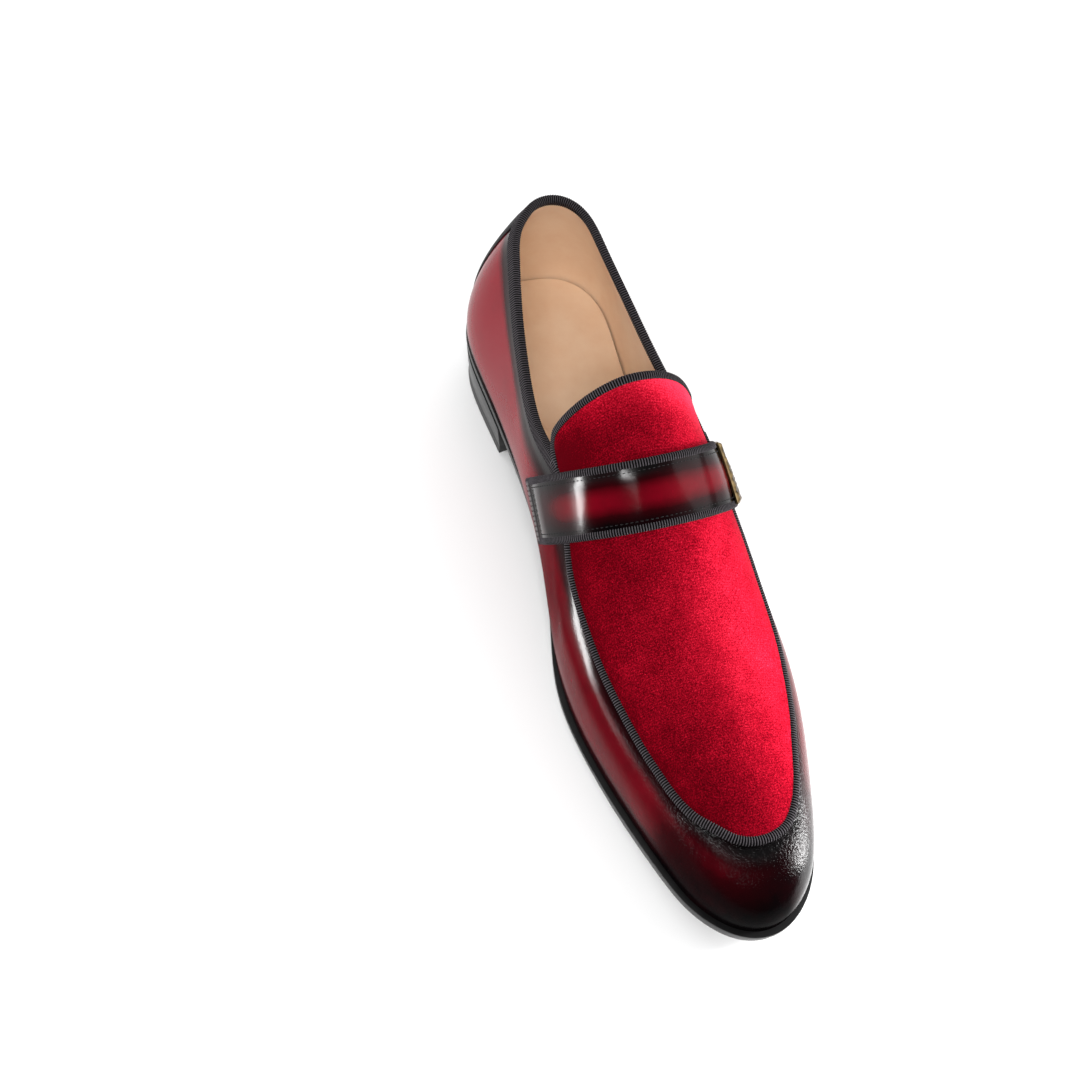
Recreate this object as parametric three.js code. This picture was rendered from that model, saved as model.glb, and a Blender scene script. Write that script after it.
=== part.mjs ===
// Left loafer: hollow leather upper with a velvet apron and tongue, ribbed bindings,
// an instep strap with a small brass plate, a thin sole and a stacked heel.
// Millimetres, +X toe, +Y outer side of the left foot, +Z up, standing on z = 0.
import * as THREE from 'three';
import { mergeVertices } from 'three/addons/utils/BufferGeometryUtils.js';

// Wall and sole sizes
const WALL_LOW = 2.2;
const WALL_TOP = 1.5;
const FIT_GAP = 0.3;
const WELT_THICK = 2.0;
const OUTSOLE_THICK = 4.0;
const INSOLE_THICK = 2.5;
const INSOLE_INSET = 2.7;
const LIFT_THICK = 5.0;
const HEEL_INSET = 0.5;
const HEEL_TAPER = 1.6;
const HEEL_FRONT_ROW = 3.9;
const HEEL_FRONT_HOLLOW = 3.0;

// Apron, tongue and bindings
const THROAT_ROW = 5.85;
const TONGUE_ROWS = 0.54;
const TONGUE_TILT = 0.095;
const TONGUE_DIP = 0.195;
const TONGUE_CORNER = 6;
const ROW_LENGTH = 33;
const VELVET_THICK = 0.8;
const APRON_TAPE = 3.4;
const APRON_TAPE_RISE = 1.3;
const TONGUE_TAPE = 3.2;
const COLLAR_TAPE = 5.0;
const TAPE_THICK = 0.75;
const TAPE_INSIDE = 2.4;
const BACK_STRIP_HALF_ROW = 1.5;

// Instep strap, cut between two planes square to the ridge of the instep
const STRAP_SLOPE = THREE.MathUtils.degToRad(34);
const STRAP_REAR = 73;
const STRAP_FRONT = 100;
const STRAP_TAPE = 3.0;
const STRAP_RISE = 1.95;
const STRAP_THICK = 1.3;
const STRAP_TAPE_THICK = 1.7;
const BADGE_LENGTH = 25;
const BADGE_WIDTH = 12.5;
const BADGE_THICK = 2.0;
const BADGE_T = 0.475;

// Sections of the last, one control row each from the middle of the heel to the tip of the toe.
// A smooth curve is drawn through the rows, close to their values.
// x: station, turn: direction of the half section, sway: side shift of its centre,
// inner and outer: half widths at the sole, rise: height of the bulge,
// lean and innerLean: outward bulge on the outer and the inner side,
// full and innerFull: breadth of the top on the outer and the inner side, ledge: sole beyond the upper,
// top and innerTop: collar or apron seam height on the outer and the inner side.
const SECTION_COLUMNS = ['x', 'turn', 'sway', 'inner', 'outer', 'lean', 'rise', 'full', 'ledge', 'top', 'innerTop', 'innerFull', 'innerLean'];
const SECTIONS = [
  [34.0, 0, 1.4, 32.0, 32.0, 4.4, 0.36, 0.60, 0.5, 93.8, 93.8, 0.60, 4.4],
  [33.8, 33, 1.0, 35.8, 35.7, 3.4, 0.36, 0.43, 0.5, 93.8, 93.8, 0.16, 3.4],
  [35.2, 63, 1.0, 35.6, 34.3, 5.5, 0.36, 0.31, 0.5, 91.2, 91.2, 0.14, 5.5],
  [42.0, 90, 0.0, 33.7, 33.0, 2.7, 0.36, 0.33, 0.5, 89.2, 89.2, 0.24, 2.7],
  [76.5, 90, 0.0, 30.1, 31.5, 3.4, 0.36, 0.61, 0.8, 76.2, 76.2, 0.61, 3.4],
  [110.9, 90, -0.1, 28.0, 32.8, 11.1, 0.41, 0.70, -0.4, 65.4, 65.4, 0.70, 11.1],
  [139.7, 90, 0.4, 29.4, 37.0, 12.5, 0.44, 0.80, -0.6, 79.1, 79.5, 0.80, 11.6],
  [164.4, 90, 1.5, 34.8, 41.4, 10.8, 0.48, 0.72, -0.4, 52.6, 54.1, 0.72, 8.7],
  [192.5, 90, 2.7, 40.6, 45.4, 7.4, 0.54, 0.69, 2.4, 43.4, 45.7, 0.69, 4.3],
  [217.4, 90, 3.4, 40.2, 47.3, 4.7, 0.60, 0.66, 2.4, 36.9, 38.8, 0.66, 0.9],
  [245.9, 97, 4.0, 34.4, 40.7, 3.9, 0.64, 0.64, 2.3, 37.8, 37.1, 0.64, -0.2],
  [259.8, 105, 4.9, 31.6, 34.8, 3.5, 0.66, 0.63, 2.3, 38.1, 37.2, 0.63, -0.3],
  [267.9, 125, 4.8, 30.7, 33.1, 2.9, 0.68, 0.63, 2.3, 37.1, 38.9, 0.63, -0.3],
  [267.9, 152, 4.8, 37.1, 39.1, 3.0, 0.70, 0.63, 2.4, 37.8, 38.4, 0.63, 0.6],
  [267.9, 180, 4.8, 46.5, 46.5, 2.6, 0.70, 0.63, 2.4, 38.0, 38.0, 0.63, 2.6],
];
const POLE_ROW = 12.4;
const LAST_ROW = SECTIONS.length - 1;
const RING_ROWS = 2 * LAST_ROW;

// Height of the edge where the upper meets the sole: station, height
const FEATHER_LINE = [
  [0, 29.0], [30, 28.2], [60, 26.5], [90, 22.2], [120, 16.0], [150, 10.2],
  [180, 6.4], [205, 5.5], [228, 5.6], [255, 7.4], [280, 10.4], [316, 12.8],
];
// Height of the ridge of the last: station, height
const RIDGE_LINE = [
  [0, 114], [36, 115], [76, 118], [110, 115], [139, 101.5], [165, 83], [192, 64.5],
  [218, 53.2], [246, 47.6], [266, 43.8], [302, 31],
];

// Smooth value and slope of a two-column line at x
function along(line, x) {
  const end = line.length - 1;
  const at = THREE.MathUtils.clamp(x, line[0][0], line[end][0]);
  let i = 0;
  while (i < end - 1 && at >= line[i + 1][0]) i += 1;
  const slopeAt = (k) => {
    const a = line[Math.max(k - 1, 0)];
    const b = line[Math.min(k + 1, end)];
    return (b[1] - a[1]) / (b[0] - a[0]);
  };
  const span = line[i + 1][0] - line[i][0];
  const f = (at - line[i][0]) / span;
  const m0 = slopeAt(i) * span;
  const m1 = slopeAt(i + 1) * span;
  const y0 = line[i][1];
  const y1 = line[i + 1][1];
  const value = y0 + f * (m0 + f * (3 * (y1 - y0) - 2 * m0 - m1 + f * (2 * (y0 - y1) + m0 + m1)));
  const slope = (m0 + f * (2 * (3 * (y1 - y0) - 2 * m0 - m1) + 3 * f * (2 * (y0 - y1) + m0 + m1))) / span;
  return { value, slope };
}

// Row k of the closed ring: outer side first, then back along the inner side
function ringRow(k) {
  const lap = Math.floor(k / RING_ROWS);
  const i = k - lap * RING_ROWS;
  const outerSide = i <= LAST_ROW;
  const source = SECTIONS[outerSide ? i : RING_ROWS - i];
  const row = {};
  SECTION_COLUMNS.forEach((name, column) => {
    row[name] = source[column];
  });
  row.half = outerSide ? row.outer : row.inner;
  row.top = outerSide ? row.top : row.innerTop;
  row.full = outerSide ? row.full : row.innerFull;
  row.lean = outerSide ? row.lean : row.innerLean;
  row.turn = (outerSide ? row.turn : 360 - row.turn) + 360 * lap;
  return row;
}

// Section at any place w on the ring, a cubic B-spline of the control rows
function section(w) {
  const i = Math.floor(w);
  const f = w - i;
  const rows = [i - 1, i, i + 1, i + 2].map(ringRow);
  const shares = [
    (1 - f) ** 3 / 6,
    (3 * f ** 3 - 6 * f ** 2 + 4) / 6,
    (-3 * f ** 3 + 3 * f ** 2 + 3 * f + 1) / 6,
    f ** 3 / 6,
  ];
  const out = {};
  [...SECTION_COLUMNS, 'half'].forEach((name) => {
    out[name] = rows.reduce((sum, row, k) => sum + shares[k] * row[name], 0);
  });
  const angle = THREE.MathUtils.degToRad(out.turn);
  out.dx = -Math.cos(angle);
  out.dy = Math.sin(angle);
  return out;
}

// Point of the last: w round the shoe, t from the sole edge (0) to the ridge (1)
function lastPoint(w, t) {
  const s = section(w);
  const low = along(FEATHER_LINE, s.x + s.dx * s.half).value;
  const ridge = along(RIDGE_LINE, s.x);
  const high = ridge.value;
  const topHalf = s.full * s.half;
  const q = 1 - t;
  const weights = [q * q * q, 3 * t * q * q, 3 * t * t * q, t * t * t];
  const reach = [s.half, s.half + s.lean, topHalf, 0];
  const heights = [low, low + s.rise * (high - low), high + ridge.slope * s.dx * topHalf, high];
  let r = 0;
  let z = 0;
  weights.forEach((weight, k) => {
    r += weight * reach[k];
    z += weight * heights[k];
  });
  return new THREE.Vector3(s.x + s.dx * r, s.sway + s.dy * r, z);
}

// Outward normal of the last; along the ridge both sides share one
function lastNormal(w, t) {
  if (t > 0.9999) {
    return new THREE.Vector3(-along(RIDGE_LINE, section(w).x).slope, 0, 1).normalize();
  }
  const step = 1e-3;
  const at = THREE.MathUtils.clamp(t, 2 * step, 1 - 2 * step);
  const round = lastPoint(w + step, at).sub(lastPoint(w - step, at));
  const up = lastPoint(w, at + step).sub(lastPoint(w, at - step));
  return up.cross(round).normalize();
}

// Rise t at which section w reaches height z
function riseAt(w, z) {
  let low = 0;
  let high = 1;
  for (let k = 0; k < 30; k += 1) {
    const middle = (low + high) / 2;
    if (lastPoint(w, middle).z < z) low = middle;
    else high = middle;
  }
  return (low + high) / 2;
}

// Top edge of the wall: collar behind the throat, apron seam in front of it
function wallTop(w) {
  return riseAt(w, section(w).top);
}

// Evenly spaced numbers from a to b, both ends kept
function steps(a, b, count) {
  return Array.from({ length: count + 1 }, (_, k) => a + ((b - a) * k) / count);
}

// Closed geometry from points and triangles, with doubled points joined
function closedGeometry(points, triangles) {
  const raw = new THREE.BufferGeometry();
  raw.setAttribute('position', new THREE.Float32BufferAttribute(points.flatMap((p) => p.toArray()), 3));
  raw.setIndex(triangles.flat());
  const joined = mergeVertices(raw, 1e-4);
  const index = joined.getIndex().array;
  const kept = [];
  for (let k = 0; k < index.length; k += 3) {
    const [a, b, c] = [index[k], index[k + 1], index[k + 2]];
    if (a !== b && b !== c && c !== a) kept.push([a, b, c]);
  }
  const position = joined.getAttribute('position');
  const vertex = (k) => new THREE.Vector3().fromBufferAttribute(position, k);
  const volume = kept.reduce((sum, [a, b, c]) => sum + vertex(a).dot(vertex(b).cross(vertex(c))), 0);
  joined.setIndex(kept.flatMap(([a, b, c]) => (volume < 0 ? [a, c, b] : [a, b, c])));
  joined.computeVertexNormals();
  return joined;
}

// Solid between two faces of one or more grids whose cells hold { high, low } points.
// Cells that share a high point are joined, and open edges get a rim.
function sheetSolid(grids) {
  const keys = new Map();
  const cells = [];
  const indexOf = (cell) => {
    const key = cell.high.toArray().map((v) => Math.round(v * 500)).join();
    if (!keys.has(key)) {
      keys.set(key, cells.length);
      cells.push(cell);
    }
    return keys.get(key);
  };
  const faces = [];
  grids.forEach((grid) => {
    const ids = grid.map((row) => row.map(indexOf));
    for (let i = 0; i + 1 < ids.length; i += 1) {
      for (let j = 0; j + 1 < ids[i].length; j += 1) {
        const [a, b, c, d] = [ids[i][j], ids[i + 1][j], ids[i + 1][j + 1], ids[i][j + 1]];
        [[a, b, c], [a, c, d]].forEach((face) => {
          if (new Set(face).size === 3) faces.push(face);
        });
      }
    }
  });
  const edges = new Map();
  faces.forEach(([a, b, c]) => {
    [[a, b], [b, c], [c, a]].forEach(([p, q]) => {
      const back = `${q},${p}`;
      if (edges.has(back)) edges.delete(back);
      else edges.set(`${p},${q}`, [p, q]);
    });
  });
  const count = cells.length;
  const points = [...cells.map((cell) => cell.high), ...cells.map((cell) => cell.low)];
  const triangles = [...faces, ...faces.map(([a, b, c]) => [c + count, b + count, a + count])];
  edges.forEach(([p, q]) => {
    triangles.push([q, p, p + count], [q, p + count, q + count]);
  });
  return closedGeometry(points, triangles);
}

// Solid from one profile of { across, lift } carried along stations of { point, side, normal }
function sweptSolid(stations, drawn) {
  const flat = drawn.map(({ across, lift }) => new THREE.Vector2(across, lift));
  const profile = THREE.ShapeUtils.isClockWise(flat) ? [...drawn].reverse() : drawn;
  const size = profile.length;
  const points = stations.flatMap((station) => profile.map(({ across, lift }) => station.point.clone()
    .addScaledVector(station.side, across)
    .addScaledVector(station.normal, lift)));
  const triangles = [];
  for (let i = 0; i + 1 < stations.length; i += 1) {
    for (let j = 0; j < size; j += 1) {
      const next = (j + 1) % size;
      const [a, b] = [i * size + j, i * size + next];
      triangles.push([a, a + size, b + size], [a, b + size, b]);
    }
  }
  const outline = profile.map(({ across, lift }) => new THREE.Vector2(across, lift));
  const end = (stations.length - 1) * size;
  THREE.ShapeUtils.triangulateShape(outline, []).forEach(([a, b, c]) => {
    triangles.push([a, b, c], [end + c, end + b, end + a]);
  });
  return closedGeometry(points, triangles);
}

// Stations along a run of { w, t } places on the last, with the side direction in the surface
function stationsOn(places) {
  const points = places.map(({ w, t }) => lastPoint(w, t));
  return places.map(({ w, t }, k) => {
    const normal = lastNormal(w, t);
    const ahead = points[Math.min(k + 1, points.length - 1)];
    const behind = points[Math.max(k - 1, 0)];
    const side = new THREE.Vector3().crossVectors(normal, ahead.clone().sub(behind)).normalize();
    return { point: points[k], side, normal };
  });
}

// A cell on the last lying between two lifts
function cellOn(w, t, high, low) {
  const point = lastPoint(w, t);
  const normal = lastNormal(w, t);
  return {
    high: point.clone().addScaledVector(normal, high),
    low: point.clone().addScaledVector(normal, low),
  };
}

// Ring place of a row on the outer side (+1) or the inner side (-1)
function onSide(row, side) {
  return side > 0 ? row : RING_ROWS - row;
}

const HEEL_STEPS = 18;
const APRON_STEPS = 26;
const WALL_STEPS = 7;
const APRON_COLUMNS = 6;
const TONGUE_STEPS = 5;
const SIDES = [1, -1];
const HEEL_ROWS = steps(0, THROAT_ROW, HEEL_STEPS);
const APRON_ROWS = steps(THROAT_ROW, LAST_ROW, APRON_STEPS);
const ALL_ROWS = [...HEEL_ROWS, ...APRON_ROWS.slice(1)];

// Place on the apron or tongue at share s from its edge to the ridge, inset by some millimetres.
// Rows in front of the throat take a row number; the tongue takes a share v up to its top edge.
function halfArc(w) {
  const edge = lastPoint(w, wallTop(w));
  return edge.distanceTo(lastPoint(w, 1));
}
function apronPlace(row, side, s, inset) {
  // in front of the pole row, every section ends at the one point in the middle of the toe
  if (s === 1 && row > POLE_ROW) return { w: LAST_ROW, t: 1 };
  const w = onSide(row, side);
  const edge = wallTop(w);
  const start = edge + (1 - edge) * (inset / halfArc(w));
  return { w, t: start + (1 - start) * s };
}
function tonguePlace(v, side, s, inset) {
  const rounded = (1 - (1 - s) ** TONGUE_CORNER) ** (1 / TONGUE_CORNER);
  const aside = side * (1 - s);
  const reach = TONGUE_ROWS + TONGUE_TILT * aside - TONGUE_DIP * (1 - aside * aside) - inset / ROW_LENGTH;
  const base = apronPlace(THROAT_ROW, side, s, inset);
  return { w: onSide(THROAT_ROW - reach * rounded * v, side), t: base.t };
}
function apronGrids(insetAt, high, low) {
  const shares = steps(0, 1, APRON_COLUMNS);
  const cell = (place) => cellOn(place.w, place.t, high, low(place));
  return SIDES.flatMap((side) => {
    const tongue = steps(1, 0, TONGUE_STEPS)
      .map((v) => shares.map((s) => cell(tonguePlace(v, side, s, insetAt(THROAT_ROW)))));
    const apron = APRON_ROWS.map((row) => shares.map((s) => cell(apronPlace(row, side, s, insetAt(row)))));
    const grids = [tongue, apron];
    return side > 0 ? grids : grids.map((grid) => grid.map((line) => [...line].reverse()));
  });
}

// Upper: wall grid all round, joined to the apron and tongue grids along the seam
function wallThickness(t) {
  return THREE.MathUtils.lerp(WALL_LOW, WALL_TOP, Math.min(t / 0.45, 1));
}
function upperGeometry() {
  const shares = steps(0, 1, WALL_STEPS);
  const wall = SIDES.map((side) => ALL_ROWS.map((row) => {
    const w = onSide(row, side);
    const top = wallTop(w);
    const line = shares.map((share) => cellOn(w, top * share, 0, -wallThickness(top * share)));
    return side > 0 ? line : line.reverse();
  }));
  const apron = apronGrids(() => 0, 0, ({ t }) => -wallThickness(t));
  return sheetSolid([...wall, ...apron]);
}

// Velvet apron and tongue face, lying on the upper inside the bindings
function velvetGeometry() {
  const seamInset = APRON_TAPE / 2 + FIT_GAP;
  const tongueInset = TONGUE_TAPE + 4 * FIT_GAP;
  const blend = (row) => THREE.MathUtils.smoothstep(row, THROAT_ROW, THROAT_ROW + 0.5);
  const insetAt = (row) => THREE.MathUtils.lerp(tongueInset, seamInset, blend(row));
  return sheetSolid(apronGrids(insetAt, FIT_GAP + VELVET_THICK, () => FIT_GAP));
}

// Ribbed tape raised along the apron seam, from the inner throat round the toe
function apronBindingGeometry() {
  const start = THROAT_ROW + 0.16;
  const rows = steps(start, 2 * LAST_ROW - start, 2 * APRON_STEPS);
  const places = rows.map((row) => ({ w: row, t: wallTop(row) }));
  const half = APRON_TAPE / 2;
  const profile = [
    { across: -half, lift: FIT_GAP },
    { across: half, lift: FIT_GAP },
    { across: half, lift: FIT_GAP + 0.5 * APRON_TAPE_RISE },
    { across: 0.5 * half, lift: FIT_GAP + APRON_TAPE_RISE },
    { across: -0.5 * half, lift: FIT_GAP + APRON_TAPE_RISE },
    { across: -half, lift: FIT_GAP + 0.5 * APRON_TAPE_RISE },
  ];
  return sweptSolid(stationsOn(places), profile);
}

// Profile of a tape folded over an edge of the upper: a strip outside, a round top, a strip inside
function foldedProfile(width, flip) {
  const out = FIT_GAP;
  const inner = -WALL_TOP - FIT_GAP;
  const crown = FIT_GAP + TAPE_THICK;
  const points = [
    { across: -width, lift: out },
    { across: -width, lift: out + 0.6 * TAPE_THICK },
    { across: -width + 0.5, lift: out + TAPE_THICK },
    { across: 0, lift: out + TAPE_THICK },
    { across: crown, lift: -0.1 * WALL_TOP },
    { across: crown, lift: -0.9 * WALL_TOP },
    { across: 0, lift: inner - TAPE_THICK },
    { across: -TAPE_INSIDE, lift: inner - TAPE_THICK },
    { across: -TAPE_INSIDE, lift: inner },
    { across: FIT_GAP, lift: inner },
    { across: FIT_GAP, lift: out },
  ];
  return points.map(({ across, lift }) => ({ across: across * flip, lift }));
}

// Collar tape, round the heel from throat to throat
function collarBindingGeometry() {
  const rows = [...HEEL_ROWS.slice(0, -1), THROAT_ROW - 0.1];
  const ring = [...[...rows].reverse().map((row) => -row), ...rows.slice(1)];
  const places = ring.map((w) => ({ w, t: wallTop(w) }));
  return sweptSolid(stationsOn(places), foldedProfile(COLLAR_TAPE, -1));
}

// Tongue tape, round the edge of the tongue clear of the throat
function tongueBindingGeometry() {
  const shares = [0.035, 0.06, 0.1, 0.16, 0.25, 0.36, 0.5, 0.66, 0.83];
  const inner = shares.map((s) => tonguePlace(1, -1, s, 0));
  const outer = shares.map((s) => tonguePlace(1, 1, s, 0)).reverse();
  const places = [...inner, tonguePlace(1, 1, 1, 0), ...outer];
  return sweptSolid(stationsOn(places), foldedProfile(TONGUE_TAPE, 1));
}

// Strip down the back of the heel, below the collar tape
function backStripGeometry() {
  const bottom = 0.03;
  const top = wallTop(0) - 0.065;
  const grid = steps(bottom, top, 8).map((t) => steps(-BACK_STRIP_HALF_ROW, BACK_STRIP_HALF_ROW, 10)
    .map((w) => cellOn(w, t, FIT_GAP + 1.0, FIT_GAP)));
  return sheetSolid([grid]);
}

// Place on the strap: t up the side of the shoe, d along the ridge
function strapPlace(side, t, d) {
  let low = 4;
  let high = 9;
  for (let k = 0; k < 30; k += 1) {
    const middle = (low + high) / 2;
    const point = lastPoint(onSide(middle, side), t);
    if (point.x * Math.cos(STRAP_SLOPE) - point.z * Math.sin(STRAP_SLOPE) < d) low = middle;
    else high = middle;
  }
  return { w: onSide((low + high) / 2, side), t };
}
function strapLift(t) {
  return THREE.MathUtils.lerp(FIT_GAP, STRAP_RISE, THREE.MathUtils.smoothstep(t, 0.27, 0.4));
}
const STRAP_RISES = [0.23, 0.28, 0.33, 0.38, 0.44, 0.5, 0.57, 0.64, 0.72, 0.81, 0.9];
function strapRun(d) {
  const inner = STRAP_RISES.map((t) => strapPlace(-1, t, d));
  const outer = STRAP_RISES.map((t) => strapPlace(1, t, d)).reverse();
  return [...inner, strapPlace(1, 1, d), ...outer];
}
function strapGeometry() {
  const margin = STRAP_TAPE + FIT_GAP;
  const grid = steps(STRAP_REAR + margin, STRAP_FRONT - margin, 4).map((d) => strapRun(d)
    .map(({ w, t }) => cellOn(w, t, strapLift(t) + STRAP_THICK, strapLift(t))));
  return sheetSolid([grid]);
}
function strapTapeGeometry(d) {
  const half = STRAP_TAPE / 2;
  const places = strapRun(d);
  const stations = stationsOn(places).map((station, k) => ({
    ...station,
    point: station.point.clone().addScaledVector(station.normal, strapLift(places[k].t)),
  }));
  const profile = [
    { across: -half, lift: 0 },
    { across: half, lift: 0 },
    { across: half, lift: 0.55 * STRAP_TAPE_THICK },
    { across: 0.5 * half, lift: STRAP_TAPE_THICK },
    { across: -0.5 * half, lift: STRAP_TAPE_THICK },
    { across: -half, lift: 0.55 * STRAP_TAPE_THICK },
  ];
  return sweptSolid(stations, profile);
}

// Brass plate across the outer side of the strap, its rim a little lower than its face
function badgeGeometry() {
  const middle = (STRAP_REAR + STRAP_FRONT) / 2;
  const base = STRAP_RISE + STRAP_TAPE_THICK + FIT_GAP;
  const centre = strapPlace(1, BADGE_T, middle);
  const step = 1e-3;
  const next = strapPlace(1, BADGE_T + step, middle);
  const speed = lastPoint(centre.w, centre.t).distanceTo(lastPoint(next.w, next.t)) / step;
  const edge = 0.9;
  const spread = (length) => [-length / 2, -length / 2 + edge, 0, length / 2 - edge, length / 2];
  const grid = spread(BADGE_LENGTH).map((d) => spread(BADGE_WIDTH).map((a) => {
    const rim = Math.abs(d) === BADGE_LENGTH / 2 || Math.abs(a) === BADGE_WIDTH / 2;
    const place = strapPlace(1, BADGE_T + a / speed, middle + d);
    return cellOn(place.w, place.t, base + BADGE_THICK - (rim ? 0.6 : 0), base);
  }));
  return sheetSolid([grid]);
}

// Plate under the foot between two heights, its outline grown or shrunk from the sole edge
function outlinePoint(row, side, grow) {
  const s = section(onSide(row, side));
  const r = s.half + grow(s);
  return new THREE.Vector2(s.x + s.dx * r, s.sway + s.dy * r);
}
function plateGeometry(rows, grow, topAt, bottomAt, hollow, taper) {
  const shares = steps(0, 1, 4);
  const grid = rows.map((row) => {
    const ends = [-1, 1].map((side) => outlinePoint(row, side, grow));
    const lower = [-1, 1].map((side) => outlinePoint(row, side, (s) => grow(s) - taper));
    return shares.map((share) => {
      const pull = hollow * (row / rows[rows.length - 1]) ** 4 * (1 - (2 * share - 1) ** 2);
      const high = ends[0].clone().lerp(ends[1], share);
      const low = lower[0].clone().lerp(lower[1], share);
      high.x -= pull;
      low.x -= pull;
      return {
        high: new THREE.Vector3(high.x, high.y, topAt(high.x)),
        low: new THREE.Vector3(low.x, low.y, bottomAt(low.x)),
      };
    });
  });
  return sheetSolid([grid]);
}
const feather = (x) => along(FEATHER_LINE, x).value;
const weltTop = (x) => feather(x) - FIT_GAP;
const weltBottom = (x) => weltTop(x) - WELT_THICK;
const outsoleTop = (x) => weltBottom(x) - FIT_GAP;
const outsoleBottom = (x) => Math.max(outsoleTop(x) - OUTSOLE_THICK, 0);
const SOLE_ROWS = [...steps(0, 6, 13), ...steps(6, 11, 14).slice(1), ...steps(11, LAST_ROW, 10).slice(1)];
const HEEL_PLATE_ROWS = steps(0, HEEL_FRONT_ROW, 14);
const ledge = (s) => s.ledge;
const ledgeUnder = (s) => s.ledge - 0.4;
const heelEdge = (s) => s.ledge - HEEL_INSET;
const liftEdge = (s) => s.ledge - HEEL_INSET - HEEL_TAPER;
const insoleEdge = () => -INSOLE_INSET;
const insoleTop = (x) => feather(x) + INSOLE_THICK;

const PAINT = {
  burgundy_leather: { color: 0x5c0a14, roughness: 0.18 },
  crimson_velvet: { color: 0xa80f22, roughness: 0.95 },
  black_grosgrain: { color: 0x17171a, roughness: 0.85 },
  black_leather: { color: 0x101012, roughness: 0.35 },
  black_rubber: { color: 0x0c0c0d, roughness: 0.8 },
  tan_lining: { color: 0xb98a5e, roughness: 0.7 },
  antique_brass: { color: 0x8a6d3a, roughness: 0.45, metalness: 1 },
};

function piece(name, geometry, paint) {
  const mesh = new THREE.Mesh(geometry, new THREE.MeshStandardMaterial({ name: paint, ...PAINT[paint] }));
  mesh.name = name;
  return mesh;
}

const strapTapeMiddle = STRAP_TAPE / 2;
const heelTop = (x) => outsoleBottom(x) - FIT_GAP;
const pieces = [
  piece('heel_top_piece', plateGeometry(HEEL_PLATE_ROWS, liftEdge, () => LIFT_THICK, () => 0,
    HEEL_FRONT_HOLLOW, 0), 'black_rubber'),
  piece('heel_stack', plateGeometry(HEEL_PLATE_ROWS, heelEdge, heelTop, () => LIFT_THICK,
    HEEL_FRONT_HOLLOW, HEEL_TAPER), 'black_leather'),
  piece('outsole', plateGeometry(SOLE_ROWS, ledgeUnder, outsoleTop, outsoleBottom, 0, 0.5),
    'black_leather'),
  piece('welt_layer', plateGeometry(SOLE_ROWS, ledge, weltTop, weltBottom, 0, 0), 'black_leather'),
  piece('insole', plateGeometry(SOLE_ROWS, insoleEdge, insoleTop, feather, 0, 0), 'tan_lining'),
  piece('upper', upperGeometry(), 'burgundy_leather'),
  piece('back_strip', backStripGeometry(), 'black_leather'),
  piece('apron_velvet', velvetGeometry(), 'crimson_velvet'),
  piece('apron_binding', apronBindingGeometry(), 'black_grosgrain'),
  piece('tongue_binding', tongueBindingGeometry(), 'black_grosgrain'),
  piece('collar_binding', collarBindingGeometry(), 'black_grosgrain'),
  piece('strap', strapGeometry(), 'burgundy_leather'),
  piece('strap_tape_rear', strapTapeGeometry(STRAP_REAR + strapTapeMiddle), 'black_grosgrain'),
  piece('strap_tape_front', strapTapeGeometry(STRAP_FRONT - strapTapeMiddle), 'black_grosgrain'),
  piece('badge', badgeGeometry(), 'antique_brass'),
];

// Stand the shoe on z = 0 with the middle of its length and width at the origin
const shoe = new THREE.Group();
shoe.name = 'loafer';
shoe.add(...pieces);
const box = new THREE.Box3().setFromObject(shoe);
const middle = box.getCenter(new THREE.Vector3());
pieces.forEach((mesh) => mesh.geometry.translate(-middle.x, -middle.y, -box.min.z));

export default shoe;
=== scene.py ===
# %% [markdown]
# # A slip-on shoe in burnished leather and velvet
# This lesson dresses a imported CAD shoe. The solids stay where they are and keep the size
# right; every piece made here is laid on the same last, so nothing has to be fitted by eye.
# The shoe is a left one: +X runs from heel to toe, +Y to the outer side, +Z up.

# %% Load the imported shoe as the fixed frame
import math

import bpy
import numpy as np
from mathutils import Matrix, Quaternion, Vector


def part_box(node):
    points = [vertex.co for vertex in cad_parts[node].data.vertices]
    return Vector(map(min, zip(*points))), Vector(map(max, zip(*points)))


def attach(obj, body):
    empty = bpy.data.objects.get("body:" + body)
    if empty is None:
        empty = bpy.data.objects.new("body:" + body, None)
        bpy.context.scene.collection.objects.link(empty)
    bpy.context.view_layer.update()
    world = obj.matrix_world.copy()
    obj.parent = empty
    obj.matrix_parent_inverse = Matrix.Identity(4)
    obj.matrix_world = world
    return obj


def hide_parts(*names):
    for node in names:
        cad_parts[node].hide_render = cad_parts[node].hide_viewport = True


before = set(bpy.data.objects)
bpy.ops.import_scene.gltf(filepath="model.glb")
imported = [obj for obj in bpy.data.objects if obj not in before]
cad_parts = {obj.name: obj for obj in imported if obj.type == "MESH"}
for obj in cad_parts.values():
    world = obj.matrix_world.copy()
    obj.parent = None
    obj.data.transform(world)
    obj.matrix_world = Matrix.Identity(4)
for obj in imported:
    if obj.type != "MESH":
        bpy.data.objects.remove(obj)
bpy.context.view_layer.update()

# %% [markdown]
# ## The last
# A shoemaker pulls the leather over a wooden foot, the last, so every soft piece of the shoe
# follows one smooth surface. It could be sculpted by hand, but then each tape and seam would
# need its own fitting. Here the last is a function: control rows run from the middle of the
# heel to the tip of the toe, a smooth curve is drawn through them on both sides, and each row
# is a curve from the sole edge (rise 0) up to the ridge (rise 1). Sizes are in millimetres.

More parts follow.
